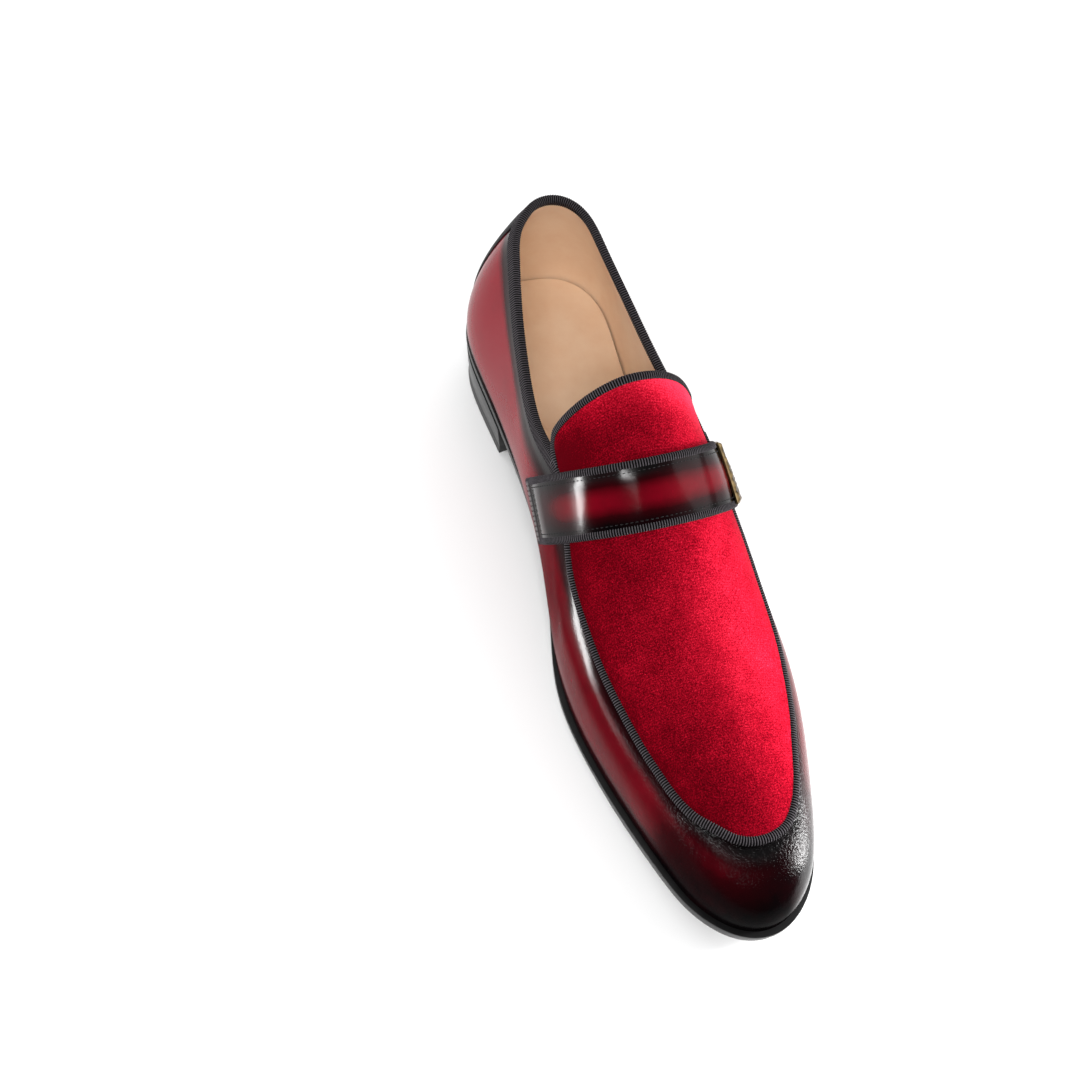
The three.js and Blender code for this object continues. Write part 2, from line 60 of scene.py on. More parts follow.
# %% Control rows of the last
COLUMNS = ("x", "turn", "sway", "inner", "half", "lean", "rise", "full", "ledge", "top",
           "inner_top", "inner_full", "inner_lean")
SECTIONS = np.array([
    [34.0, 0, 1.4, 32.0, 32.0, 4.4, 0.36, 0.60, 0.5, 93.8, 93.8, 0.60, 4.4],
    [33.8, 33, 1.0, 35.8, 35.7, 3.4, 0.36, 0.43, 0.5, 93.8, 93.8, 0.16, 3.4],
    [35.2, 63, 1.0, 35.6, 34.3, 5.5, 0.36, 0.31, 0.5, 91.2, 91.2, 0.14, 5.5],
    [42.0, 90, 0.0, 33.7, 33.0, 2.7, 0.36, 0.33, 0.5, 89.2, 89.2, 0.24, 2.7],
    [76.5, 90, 0.0, 30.1, 31.5, 3.4, 0.36, 0.61, 0.8, 76.2, 76.2, 0.61, 3.4],
    [110.9, 90, -0.1, 28.0, 32.8, 11.1, 0.41, 0.70, -0.4, 65.4, 65.4, 0.70, 11.1],
    [139.7, 90, 0.4, 29.4, 37.0, 12.5, 0.44, 0.80, -0.6, 79.1, 79.5, 0.80, 11.6],
    [164.4, 90, 1.5, 34.8, 41.4, 10.8, 0.48, 0.72, -0.4, 52.6, 54.1, 0.72, 8.7],
    [192.5, 90, 2.7, 40.6, 45.4, 7.4, 0.54, 0.69, 2.4, 43.4, 45.7, 0.69, 4.3],
    [217.4, 90, 3.4, 40.2, 47.3, 4.7, 0.60, 0.66, 2.4, 36.9, 38.8, 0.66, 0.9],
    [245.9, 97, 4.0, 34.4, 40.7, 3.9, 0.64, 0.64, 2.3, 37.8, 37.1, 0.64, -0.2],
    [259.8, 105, 4.9, 31.6, 34.8, 3.5, 0.66, 0.63, 2.3, 38.1, 37.2, 0.63, -0.3],
    [267.9, 125, 4.8, 30.7, 33.1, 2.9, 0.68, 0.63, 2.3, 37.1, 38.9, 0.63, -0.3],
    [267.9, 152, 4.8, 37.1, 39.1, 3.0, 0.70, 0.63, 2.4, 37.8, 38.4, 0.63, 0.6],
    [267.9, 180, 4.8, 46.5, 46.5, 2.6, 0.70, 0.63, 2.4, 38.0, 38.0, 0.63, 2.6],
])
FEATHER_LINE = np.array([
    [0, 29.0], [30, 28.2], [60, 26.5], [90, 22.2], [120, 16.0], [150, 10.2],
    [180, 6.4], [205, 5.5], [228, 5.6], [255, 7.4], [280, 10.4], [316, 12.8]])
RIDGE_LINE = np.array([
    [0, 114], [36, 115], [76, 118], [110, 115], [139, 101.5], [165, 83], [192, 64.5],
    [218, 53.2], [246, 47.6], [266, 43.8], [302, 31]])

# %% The rows closed to a ring
LAST_ROW = len(SECTIONS) - 1
RING_ROWS = 2 * LAST_ROW
TURN = COLUMNS.index("turn")
INNER_SIDE = {"half": "inner", "top": "inner_top", "full": "inner_full", "lean": "inner_lean"}

inner_rows = SECTIONS[-2:0:-1].copy()
inner_rows[:, TURN] = 360 - inner_rows[:, TURN]
for shared, own in INNER_SIDE.items():
    inner_rows[:, COLUMNS.index(shared)] = inner_rows[:, COLUMNS.index(own)]
RING = np.vstack([SECTIONS, inner_rows])
print("control rows round the last:", len(RING))


# %% Curves through the rows
def along(line, x):
    """Smooth height and slope of a two-column line at x."""
    xs, ys = line[:, 0], line[:, 1]
    before = np.maximum(np.arange(len(xs)) - 1, 0)
    after = np.minimum(np.arange(len(xs)) + 1, len(xs) - 1)
    slopes = (ys[after] - ys[before]) / (xs[after] - xs[before])
    at = np.clip(x, xs[0], xs[-1])
    i = np.clip(np.searchsorted(xs, at, side="right") - 1, 0, len(xs) - 2)
    span = xs[i + 1] - xs[i]
    f = (at - xs[i]) / span
    m0, m1, y0, y1 = slopes[i] * span, slopes[i + 1] * span, ys[i], ys[i + 1]
    bend, twist = 3 * (y1 - y0) - 2 * m0 - m1, 2 * (y0 - y1) + m0 + m1
    return y0 + f * (m0 + f * (bend + f * twist)), (m0 + f * (2 * bend + 3 * f * twist)) / span


def section(w):
    """Values of the section at place w on the ring: 0 heel, 14 toe, then back on the inner side."""
    w = np.asarray(w, float)
    i = np.floor(w).astype(int)
    f = (w - i)[..., None]
    shares = ((1 - f) ** 3, 3 * f**3 - 6 * f**2 + 4, -3 * f**3 + 3 * f**2 + 3 * f + 1, f**3)
    mixed = 0
    for k, share in enumerate(shares):
        lap, row = np.divmod(i + k - 1, RING_ROWS)
        values = RING[row].copy()
        values[..., TURN] += 360 * lap
        mixed = mixed + share * values / 6
    return {name: mixed[..., k] for k, name in enumerate(COLUMNS)}


def ring_place(row, aside):
    """Place on the ring of a row, on the outer side where aside is above 0, else on the inner one."""
    return np.where(aside > 0, row, RING_ROWS - row)


# %% The last as a surface
def last_point(w, t):
    """Point of the last at place w on the ring and rise t."""
    s = section(w)
    angle = np.radians(s["turn"])
    dx, dy = -np.cos(angle), np.sin(angle)
    low = along(FEATHER_LINE, s["x"] + dx * s["half"])[0]
    high, slope = along(RIDGE_LINE, s["x"])
    crown = s["full"] * s["half"]
    q = 1 - t
    a, b, c, d = q**3, 3 * t * q * q, 3 * t * t * q, t**3
    r = a * s["half"] + b * (s["half"] + s["lean"]) + c * crown
    z = a * low + b * (low + s["rise"] * (high - low)) + c * (high + slope * dx * crown) + d * high
    return np.stack([s["x"] + dx * r, s["sway"] + dy * r, z], -1)


def unit(v):
    return v / np.maximum(np.linalg.norm(v, axis=-1, keepdims=True), 1e-12)


def last_normal(w, t):
    """Direction straight out of the last."""
    step = 1e-3
    at = np.clip(t, 2 * step, 1 - 2 * step)
    round_ = last_point(w + step, at) - last_point(w - step, at)
    up = last_point(w, at + step) - last_point(w, at - step)
    return unit(np.cross(up, round_))


# %% Where the wall ends
HALVINGS = 34


def crossing(low, high, is_before):
    """Halves the span from low to high until only the place where is_before ends is left."""
    for _ in range(HALVINGS):
        middle = (low + high) / 2
        before = is_before(middle)
        low, high = np.where(before, middle, low), np.where(before, high, middle)
    return (low + high) / 2


def wall_top(w):
    """Rise at which the wall ends: the collar behind the throat, the apron seam in front of it."""
    w = np.asarray(w, float)
    top = section(w)["top"]
    return crossing(np.zeros_like(w), np.ones_like(w), lambda t: last_point(w, t)[..., 2] < top)


# %% Where the last stands in the shoe's frame
MM = 0.001
ring = section(np.linspace(0, RING_ROWS, 5601))
tip = section(np.array(float(LAST_ROW)))
outline_y = ring["sway"] + np.sin(np.radians(ring["turn"])) * (ring["half"] + ring["ledge"])
_, welt_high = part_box("welt_layer")
SHIFT = np.array([tip["x"] + tip["half"] + tip["ledge"] - welt_high.x / MM,
                  outline_y.max() - welt_high.y / MM, 0.0])
print("last to shoe frame, mm:", SHIFT.round(3))


def to_frame(points):
    return (points - SHIFT) * MM


# %% [markdown]
# ## Helpers at the bench
# Each piece starts as a flat grid, as cloth or leather does, and is laid on the last corner by
# corner. Modifiers then give it thickness and round its cut edges. These few helpers hold the
# steps that come back for every piece: clearing the selection, editing, applying and handing over.

# %% Select and edit
def pick(piece):
    bpy.ops.object.select_all(action="DESELECT")
    piece.select_set(True)
    bpy.context.view_layer.objects.active = piece


def edit(piece, *steps):
    """Runs edit-mode steps with the whole piece selected."""
    pick(piece)
    bpy.ops.object.mode_set(mode="EDIT")
    bpy.ops.mesh.select_all(action="SELECT")
    for step in steps:
        step()
    bpy.ops.object.mode_set(mode="OBJECT")


def weld(gap=0.01):
    bpy.ops.mesh.remove_doubles(threshold=gap * MM)


def face_out():
    bpy.ops.mesh.normals_make_consistent(inside=False)


# %% Thickness and round edges
def apply(piece, kind, **settings):
    pick(piece)
    modifier = piece.modifiers.new(kind.lower(), kind)
    for name, value in settings.items():
        setattr(modifier, name, value)
    bpy.ops.object.modifier_apply(modifier=modifier.name)


def thicken(piece, thick, **settings):
    """Gives a sheet its thickness, on its inner side."""
    apply(piece, "SOLIDIFY", thickness=thick * MM, offset=-1, **settings)


def round_edges(piece, width, segments, sharper_than):
    apply(piece, "BEVEL", width=width * MM, segments=segments, limit_method="ANGLE",
          angle_limit=math.radians(sharper_than))


# %% Corners and painted values
def corners(piece):
    flat = np.empty(3 * len(piece.data.vertices), np.float32)
    piece.data.vertices.foreach_get("co", flat)
    return flat.reshape(-1, 3).astype(float)


def put_corners(piece, points):
    piece.data.vertices.foreach_set("co", points.astype(np.float32).ravel())
    piece.data.update()


def paint(piece, name, values):
    layer = piece.data.attributes.new(name, "FLOAT", "POINT")
    layer.data.foreach_set("value", np.asarray(values, np.float32))


def take_paint(piece, name):
    """Reads a painted value back and wipes it off."""
    values = np.empty(len(piece.data.vertices), np.float32)
    layer = piece.data.attributes[name]
    layer.data.foreach_get("value", values)
    piece.data.attributes.remove(layer)
    return values.astype(float)


# %% Start and hand over a piece
def flat_grid(name, across, along_):
    """A flat grid of faces, with the share across (u) and along (v) of each corner."""
    bpy.ops.object.select_all(action="DESELECT")
    bpy.ops.mesh.primitive_grid_add(x_subdivisions=across, y_subdivisions=along_, size=1)
    piece = bpy.context.object
    piece.name = piece.data.name = name
    flat = corners(piece)
    u = np.round((flat[:, 0] + 0.5) * across) / across
    v = np.round((flat[:, 1] + 0.5) * along_) / along_
    return piece, u, v


def hand_over(piece, finish, slot, *nodes, angle=40):
    piece.data.materials.clear()
    piece.data.materials.append(finish)
    pick(piece)
    bpy.ops.object.shade_smooth_by_angle(angle=math.radians(angle))
    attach(piece, "root")
    if nodes:
        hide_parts(*nodes)
    print(f"{piece.name}: {len(piece.data.vertices)} corners, {len(piece.data.polygons)} faces")
    return piece


# %% [markdown]
# ## Finishes
# Every finish is built from nodes, so that it can be looked at from any distance. Patterns read
# the Object coordinates or a value painted on the piece, and a number that is the same all over
# is set straight on the shader. The leather is the main one: a red base, rubbed to black by hand
# along the edges, under a clear polish that is thicker in some places than in others.

# %% Node helpers
def new_finish(name, **sockets):
    finish = bpy.data.materials.new(name)
    finish.use_nodes = True
    shader = finish.node_tree.nodes["Principled BSDF"]
    for socket, value in sockets.items():
        shader.inputs[socket.replace("_", " ")].default_value = value
    return finish, finish.node_tree, shader


def add(tree, kind, **values):
    node = tree.nodes.new("ShaderNode" + kind)
    for name, value in values.items():
        socket = node.inputs.get(name.replace("_", " "))
        if socket is None:
            setattr(node, name, value)
        elif isinstance(value, bpy.types.NodeSocket):
            tree.links.new(value, socket)
        else:
            socket.default_value = value
    return node


def mix_numbers(tree, how, a, b, clamp=False):
    node = add(tree, "Math", operation=how, use_clamp=clamp)
    for socket, value in zip(node.inputs, (a, b)):
        if isinstance(value, bpy.types.NodeSocket):
            tree.links.new(value, socket)
        else:
            socket.default_value = value
    return node.outputs[0]


# %% Patterns
def place(tree):
    return add(tree, "TexCoord").outputs["Object"]


def painted(tree, name):
    return add(tree, "Attribute", attribute_name=name).outputs["Fac"]


def noise(tree, scale, detail=2.0, roughness=0.5):
    """A cloudy pattern from 0 to 1."""
    node = add(tree, "TexNoise", Vector=place(tree), Scale=scale, Detail=detail, Roughness=roughness)
    return node.outputs["Fac"]


def cells(tree, scale):
    """A pattern of small cells, 0 in the middle of each."""
    return add(tree, "TexVoronoi", Vector=place(tree), Scale=scale).outputs["Distance"]


def wave(tree, **values):
    return add(tree, "TexWave", Vector=place(tree), **values).outputs["Fac"]


def centred(tree, value, span):
    """A 0 to 1 pattern made to swing by the span about zero."""
    node = add(tree, "MapRange", Value=value)
    node.inputs["To Min"].default_value = -span / 2
    node.inputs["To Max"].default_value = span / 2
    return node.outputs["Result"]


# %% Colour and relief
def tint(tree, shader, pattern, *stops):
    """Colours the shader along a ramp; each stop is a place on the ramp and a colour."""
    node = add(tree, "ValToRGB", Fac=pattern)
    elements = node.color_ramp.elements
    for k, (at, colour) in enumerate(stops):
        element = elements[k] if k < 2 else elements.new(at)
        element.position = at
        element.color = (*colour, 1)
    tree.links.new(node.outputs["Color"], shader.inputs["Base Color"])


def relief(tree, shader, pattern, deep, strength, socket="Normal"):
    """Small relief from a pattern, deep in millimetres."""
    node = add(tree, "Bump", Height=pattern, Distance=deep * MM, Strength=strength)
    tree.links.new(node.outputs["Normal"], shader.inputs[socket])


# %% Burnished leather
leather, tree, shader = new_finish(
    "burnished_leather", Roughness=0.45, Specular_IOR_Level=0.0,
    Coat_Weight=1.0, Coat_Roughness=0.16, Coat_IOR=1.24)
cloud = centred(tree, noise(tree, 55.0, 3.0, 0.55), 0.34)
streak = centred(tree, noise(tree, 260.0, 4.0), 0.12)
shade = mix_numbers(tree, "ADD", cloud, painted(tree, "burnish"))
shade = mix_numbers(tree, "ADD", shade, streak, clamp=True)
tint(tree, shader, shade, (0.0, (0.135, 0.0012, 0.0065)), (1.0, (0.0012, 0.0008, 0.0010)),
     (0.3, (0.070, 0.0008, 0.0036)), (0.62, (0.016, 0.0005, 0.0014)))
relief(tree, shader, cells(tree, 1500.0), 0.02, 0.35)
wrinkle = mix_numbers(tree, "MULTIPLY", noise(tree, 1100.0, 2.0, 0.6), painted(tree, "gather"))
wobble = mix_numbers(tree, "MULTIPLY", noise(tree, 240.0), 0.25)
relief(tree, shader, mix_numbers(tree, "ADD", wrinkle, wobble), 0.22, 0.8, socket="Coat Normal")
tree.links.new(painted(tree, "polish"), shader.inputs["Coat Weight"])

# %% Velvet
velvet, tree, shader = new_finish(
    "crimson_velvet", Roughness=0.9, Specular_IOR_Level=0.0,
    Sheen_Weight=0.32, Sheen_Roughness=0.3, Sheen_Tint=(1.0, 0.21, 0.28, 1))
drift = centred(tree, noise(tree, 85.0, 5.0, 0.6), 0.40)
tufts = centred(tree, noise(tree, 1900.0, 2.0, 0.7), 1.5)
rows = centred(tree, wave(tree, bands_direction="X", Scale=330.0, Distortion=1.2, Detail=2.0), 0.07)
# The nap value carries painted light and shade; the random drift, tufts and weave rows are the velvet's own
# tone.
pile_and_painted_light = mix_numbers(tree, "ADD", drift, painted(tree, "nap_and_painted_light"))
pile_and_painted_light = mix_numbers(tree, "ADD", pile_and_painted_light, tufts)
pile_and_painted_light = mix_numbers(tree, "ADD", pile_and_painted_light, rows, clamp=True)
tint(tree, shader, pile_and_painted_light, (0.0, (0.055, 0.0004, 0.0022)), (1.0, (0.84, 0.030, 0.068)),
     (0.25, (0.13, 0.0010, 0.0050)), (0.5, (0.29, 0.0030, 0.0125)), (0.75, (0.52, 0.0105, 0.0310)))
relief(tree, shader, noise(tree, 2600.0), 0.25, 0.55)

# %% Ribbed tape and thread
grosgrain, tree, shader = new_finish("black_grosgrain", Roughness=0.65, Specular_IOR_Level=0.03)
weave = noise(tree, 2200.0)
# Painted light and shade: the tape is painted lighter on the rib tops, as a highlight, and almost black in
# the hollows between the ribs.
lit = mix_numbers(tree, "ADD", painted(tree, "rib_light_and_shade"), centred(tree, weave, 0.4), clamp=True)
tint(tree, shader, lit, (0.2, (0.0006, 0.0006, 0.0006)), (1.0, (0.075, 0.067, 0.074)),
     (0.55, (0.0050, 0.0045, 0.0050)))
relief(tree, shader, weave, 0.06, 0.5)

thread, tree, shader = new_finish("black_thread", Roughness=0.75, Specular_IOR_Level=0.12)
tint(tree, shader, wave(tree, Scale=900.0, Distortion=1.0),
     (0.0, (0.004, 0.004, 0.004)), (1.0, (0.022, 0.020, 0.021)))

# %% Lining and dull black leather
lining, tree, shader = new_finish("tan_lining_leather", Roughness=0.55, Sheen_Weight=0.1)
tint(tree, shader, noise(tree, 70.0, 6.0, 0.6), (0.25, (0.84, 0.60, 0.41)), (0.8, (0.93, 0.74, 0.55)))
relief(tree, shader, cells(tree, 1300.0), 0.05, 0.5)

dull_black, tree, shader = new_finish("dull_black_leather", Roughness=0.62, Specular_IOR_Level=0.18)
grain = cells(tree, 1100.0)
tint(tree, shader, grain, (0.0, (0.0045, 0.0041, 0.0045)), (0.7, (0.0125, 0.0115, 0.0125)))
relief(tree, shader, grain, 0.06, 0.5)

# %% Sole leather and heel rubber
sole_black, tree, shader = new_finish(
    "black_sole_leather", Roughness=0.42, Specular_IOR_Level=0.26,
    Coat_Weight=0.3, Coat_Roughness=0.2, Coat_IOR=1.2)
tint(tree, shader, noise(tree, 220.0, 5.0), (0.3, (0.0020, 0.0020, 0.0022)), (0.8, (0.0060, 0.0057, 0.0060)))
relief(tree, shader, wave(tree, bands_direction="Z", Scale=62.0, Distortion=0.4), 0.05, 0.3)

rubber, tree, shader = new_finish("black_heel_rubber", Roughness=0.62)
speck = noise(tree, 900.0, 3.0)
tint(tree, shader, speck, (0.3, (0.008, 0.008, 0.008)), (0.8, (0.02, 0.02, 0.02)))
relief(tree, shader, speck, 0.1, 0.4)

# %% Brass
brass, tree, shader = new_finish("antique_brass", Metallic=1.0, Roughness=0.38)
tarnish = noise(tree, 420.0, 6.0, 0.7)
hollows = mix_numbers(tree, "MULTIPLY", painted(tree, "hollow"), 0.75)
spots = mix_numbers(tree, "MULTIPLY", tarnish, 0.5)
tint(tree, shader, mix_numbers(tree, "ADD", spots, hollows, clamp=True),
     (0.1, (0.30, 0.22, 0.11)), (0.8, (0.020, 0.014, 0.007)), (0.42, (0.13, 0.088, 0.040)))
relief(tree, shader, tarnish, 0.12, 0.6)
print("finishes:", [finish.name for finish in bpy.data.materials])

# %% [markdown]
# ## The sole, heel and insole
# Under the foot lie flat layers cut to the outline of the last: a thin welt that shows as a
# ledge, the outsole, a stacked heel with a rubber bottom piece, and the insole inside. Each is
# laid out as a grid from side to side, extruded downwards for its thickness, and its cut edges
# are rounded with a bevel so that they catch a fine line of light as the real ones do. At the
# heel and the toe the rows of the grid are bowed to follow the round end of the outline.

# %% Heights of the layers
GAP = 0.3
WELT_THICK, OUTSOLE_THICK, INSOLE_THICK, LIFT_THICK = 2.0, 4.0, 2.5, 5.0


def feather(x):
    """Height of the edge where the upper meets the sole."""
    return along(FEATHER_LINE, x)[0]


def welt_top(x):
    return feather(x) - GAP


def outsole_top(x):
    return feather(x) - 2 * GAP - WELT_THICK


def outsole_bottom(x):
    return np.maximum(outsole_top(x) - OUTSOLE_THICK, 0)


def lift_top(x):
    return np.full_like(x, LIFT_THICK)


# %% The outline of a layer
END_ROW, BOW_REACH = 0.3, 0.25


def hump(value, middle, width):
    """A soft bump of height 1 round the middle."""
    return np.exp(-(((value - middle) / width) ** 2))


def edge_at(row, aside, grow):
    """Point of the outline at a row, moved out by what grow makes of the section there."""
    s = section(ring_place(row, aside))
    angle = np.radians(s["turn"])
    r = s["half"] + grow(s)
    return np.stack([s["x"] - np.cos(angle) * r, s["sway"] + np.sin(angle) * r], -1)


def across_at(row, share, grow):
    """Point at a share of the way from the inner to the outer outline."""
    inner = edge_at(row, np.full_like(row, -1), grow)
    outer = edge_at(row, np.full_like(row, 1), grow)
    return inner + (outer - inner) * share[:, None]


def layer_points(row, share, grow, height, last_row, hollow):
    flat = across_at(row, share, grow)
    aside = 2 * share - 1
    for end, ahead in ((0, END_ROW), (LAST_ROW, -END_ROW)):
        straight = across_at(np.full_like(row, end + ahead), share, grow)
        bow = edge_at(end + ahead * np.abs(aside), aside, grow) - straight
        flat += bow * hump(row, end + ahead, BOW_REACH)[:, None]
    flat[:, 0] -= hollow * (row / last_row) ** 4 * (1 - aside**2)
    return to_frame(np.column_stack([flat, height(flat[:, 0])]))


# %% One layer, from its outline
LAYER_COLUMNS = 24


def layer(name, last_row, grow, top, bottom, taper=0.0, hollow=0.0, rows=150, round_edge=0.35):
    """A layer from the heel to last_row; a hollow front makes it a heel piece."""
    piece, share, run = flat_grid(name, LAYER_COLUMNS, rows)
    if hollow:
        row = END_ROW + (last_row - END_ROW) * run**1.25
    else:
        closer_at_ends = 0.35 * run + 0.325 * (1 - np.cos(run * np.pi))
        row = END_ROW + (last_row - 2 * END_ROW) * closer_at_ends
    paint(piece, "share", share)
    paint(piece, "row", row)
    put_corners(piece, layer_points(row, share, grow, top, last_row, hollow))
    edit(piece, lambda: weld(0.02), lambda: bpy.ops.mesh.extrude_region_move(
        TRANSFORM_OT_translate={"value": (0, 0, -MM)}))
    is_low = np.empty(len(piece.data.vertices), bool)
    piece.data.vertices.foreach_get("select", is_low)
    share, row = take_paint(piece, "share")[is_low], take_paint(piece, "row")[is_low]
    points = corners(piece)
    points[is_low] = layer_points(row, share, lambda s: grow(s) - taper, bottom, last_row, hollow)
    put_corners(piece, points)
    edit(piece, face_out)
    round_edges(piece, round_edge, 3, 50)
    return piece


# %% Welt and outsole
OUTSOLE_INSET, OUTSOLE_TAPER = 0.4, 0.5

welt = layer("welt_edge", LAST_ROW, lambda s: s["ledge"], welt_top, lambda x: welt_top(x) - WELT_THICK)
hand_over(welt, sole_black, "black_leather", "welt_layer")
outsole = layer("outsole_leather", LAST_ROW, lambda s: s["ledge"] - OUTSOLE_INSET,
                outsole_top, outsole_bottom, taper=OUTSOLE_TAPER, round_edge=0.6)
hand_over(outsole, sole_black, "black_leather", "outsole")

# %% Heel and insole
HEEL_FRONT_ROW, HEEL_FRONT_HOLLOW, HEEL_TAPER, HEEL_INSET = 3.9, 3.0, 1.6, 0.5
INSOLE_INSET = 2.7

heel = layer("stacked_heel", HEEL_FRONT_ROW, lambda s: s["ledge"] - HEEL_INSET,
             lambda x: outsole_bottom(x) - GAP, lift_top, HEEL_TAPER, HEEL_FRONT_HOLLOW, rows=90)
hand_over(heel, sole_black, "black_leather", "heel_stack")
bottom_piece = layer("heel_bottom_piece", HEEL_FRONT_ROW, lambda s: s["ledge"] - HEEL_INSET - HEEL_TAPER,
                     lift_top, np.zeros_like, hollow=HEEL_FRONT_HOLLOW, rows=90)
hand_over(bottom_piece, rubber, "black_rubber", "heel_top_piece")
insole = layer("insole_sock", LAST_ROW, lambda s: -INSOLE_INSET,
               lambda x: feather(x) + INSOLE_THICK, feather, round_edge=0.9)
hand_over(insole, lining, "tan_lining", "insole")

# %% [markdown]
# ## The leather wall
# One strip of leather runs all round the shoe, from the sole up to the collar at the back and to
# the apron seam in front. A grid is wrapped round the last and closed under the back strip; its
# lowest line is tucked in under the foot, as the real leather is pulled over the edge.

# %% Leather wall: the grid on the last
WALL_LEATHER, TUCK_SHARE = 1.2, 0.023


def walk(points):
    """Length walked along a line of points, from its start to each point."""
    return np.concatenate([[0], np.cumsum(np.linalg.norm(np.diff(points, axis=0), axis=1))])


wall_places = np.concatenate([np.linspace(0, 9, 160, endpoint=False),
                              np.linspace(9, 19, 330, endpoint=False), np.linspace(19, RING_ROWS, 161)])
wall_tops = wall_top(wall_places)
wall_edge = last_point(wall_places, wall_tops)
wall, rise, run = flat_grid("leather_wall", 44, len(wall_places) - 1)
column = np.round(run * (len(wall_places) - 1)).astype(int)
w, top = wall_places[column], wall_tops[column]
tuck = np.clip((TUCK_SHARE - rise) / TUCK_SHARE, 0, 1)
t = top * np.maximum(rise - TUCK_SHARE, 0) / (1 - TUCK_SHARE)
points, normals = last_point(w, t), last_normal(w, t)

# %% [markdown]
# The leather is not as smooth as the last. Beside the apron seam it rolls down under the tape and
# is full below it, a few shallow creases show where the foot bends, and round the toe it is
# gathered into tiny puckers. Distances are taken in millimetres from the wall's two edges, so that
# each of these forms stays where a shoemaker would point at it.

# %% Leather wall: creases, roll and puckers
WALL_CURVE = 1.06
PUCKER_PITCH, PUCKER_DEEP = 2.7, 0.04
# Each crease: place along the shoe, height, width, length, depth (below 0 sinks in), lean.
CREASES = [
    (186, 33, 4.0, 11, -0.28, 0.25),
    (195, 33, 5.0, 11, 0.22, 0.25),
    (205, 30, 4.5, 10, -0.22, 0.2),
    (150, 45, 7.0, 15, -0.25, 0.3),
    (96, 55, 9.0, 16, -0.30, 0.1),
]


def smooth(value, start, end):
    """0 before the start, 1 after the end, a soft step between them."""
    f = np.clip((np.asarray(value, float) - start) / (end - start), 0, 1)
    return f * f * (3 - 2 * f)


def fade(value, start, end):
    """1 before the start, 0 after the end."""
    return 1 - smooth(value, start, end)


tall = WALL_CURVE * np.linalg.norm(wall_edge - last_point(wall_places, 0 * wall_places), axis=1)[column]
to_top, to_sole = (1 - rise) * tall, rise * tall
toe_half = np.minimum(w, RING_ROWS - w)
by_apron = smooth(toe_half, 6.2, 7.2)
seam_at = walk(wall_edge)[column]
pucker = np.sin(2 * np.pi * seam_at / PUCKER_PITCH + 1.3 * np.sin(seam_at / 9.0)) * hump(to_top, 2.6, 2.6)
roll = by_apron * (0.5 * hump(to_top, 0, 2.9) + 0.85 * hump(to_top, 0, 7.0))
puff = 0.9 * by_apron * hump(to_top, 13, 7.0) * fade(toe_half, 9.0, 11.0)
x, y, z = points.T
crease = sum(deep * hump(x + lean * z, at, wide) * hump(z, high, long)
             for at, high, wide, long, deep, lean in CREASES)
lift = PUCKER_DEEP * pucker * smooth(toe_half, 10.6, 12.4) - roll + puff + crease * (y < 0)
points = points + normals * (lift - 1.1 * tuck**2)[:, None]
points[:, 2] -= 0.25 * tuck
put_corners(wall, to_frame(points))
print("wall leather stands", lift.min().round(2), "to", lift.max().round(2), "mm off the last")

# %% [markdown]
# Three values are painted on the wall for the finish. Burnish says how far the leather was rubbed
# to black: along the collar, the seam and the sole, over the toe and under the back strip. Gather
# says how wrinkled the skin is, and polish how thick the clear coat is, so that bright lines show
# beside the seam and on the toe and the middle of the wall stays quiet.

# %% Leather wall: burnish and gather
x, y, z = points.T
in_front = smooth(toe_half, 6.0, 7.5)
by_strap = smooth(x, 70, 110) * (1 - in_front)
dark_top = fade(to_top, 6.0 - 4.0 * in_front, 15.0 - 5.0 * in_front + 9.0 * by_strap)
dark_sole = fade(to_sole, 1.0, 9.0)
glow = hump(y, -9, 13) * hump(z, 34, 5.5)
dark_toe = smooth(x, 250, 296) * (1 - 0.62 * glow)
dark_back = fade(toe_half, 0.8, 1.8)
dark_front = smooth(x, 100, 150)
red_left = np.ones_like(x)
for rubbed, where in ((0.97, dark_top), (0.95, dark_sole), (0.93, dark_toe), (0.95, dark_back),
                      (0.32, dark_front)):
    red_left *= 1 - rubbed * where
paint(wall, "burnish", 1 - red_left)
paint(wall, "gather", 0.15 + 1.6 * smooth(toe_half, 8.5, 11.5) * (1 - 0.8 * smooth(to_top, 8.0, 20.0)))

# %% Leather wall: polish
at_toe = smooth(toe_half, 10.0, 11.5)
low_wall = 0.65 * smooth(to_top, 13.0, 24.0) * fade(toe_half, 10.3, 11.6) * smooth(x, 165, 200)
quarter = 0.7 * fade(x, 90, 150)
outer_side = smooth(y, 12, 22)
by_seam = fade(to_top, 7.0 - 3.0 * at_toe, 14.0 - 6.0 * at_toe)
by_seam *= 1 - smooth(toe_half, 8.2, 8.9) * fade(toe_half, 10.8, 11.5)
by_seam *= 1 - 0.9 * in_front * (1 - at_toe) * fade(to_top, 2.4, 4.4)
by_seam *= 1 - 0.85 * in_front * fade(toe_half, 7.1, 7.8)
shine = np.maximum.reduce([low_wall, by_seam, quarter, outer_side])
paint(wall, "polish", 0.12 + 0.88 * shine)
edit(wall, weld)
thicken(wall, WALL_LEATHER, use_even_offset=True)
hand_over(wall, leather, "burgundy_leather", "upper")

# %% [markdown]
# ## The lining
# Inside, a thin tan leather covers the wall and, further on, the underside of the vamp and tongue.
# It is the same wrap as the wall, a little further in, and closes the view into the toe.

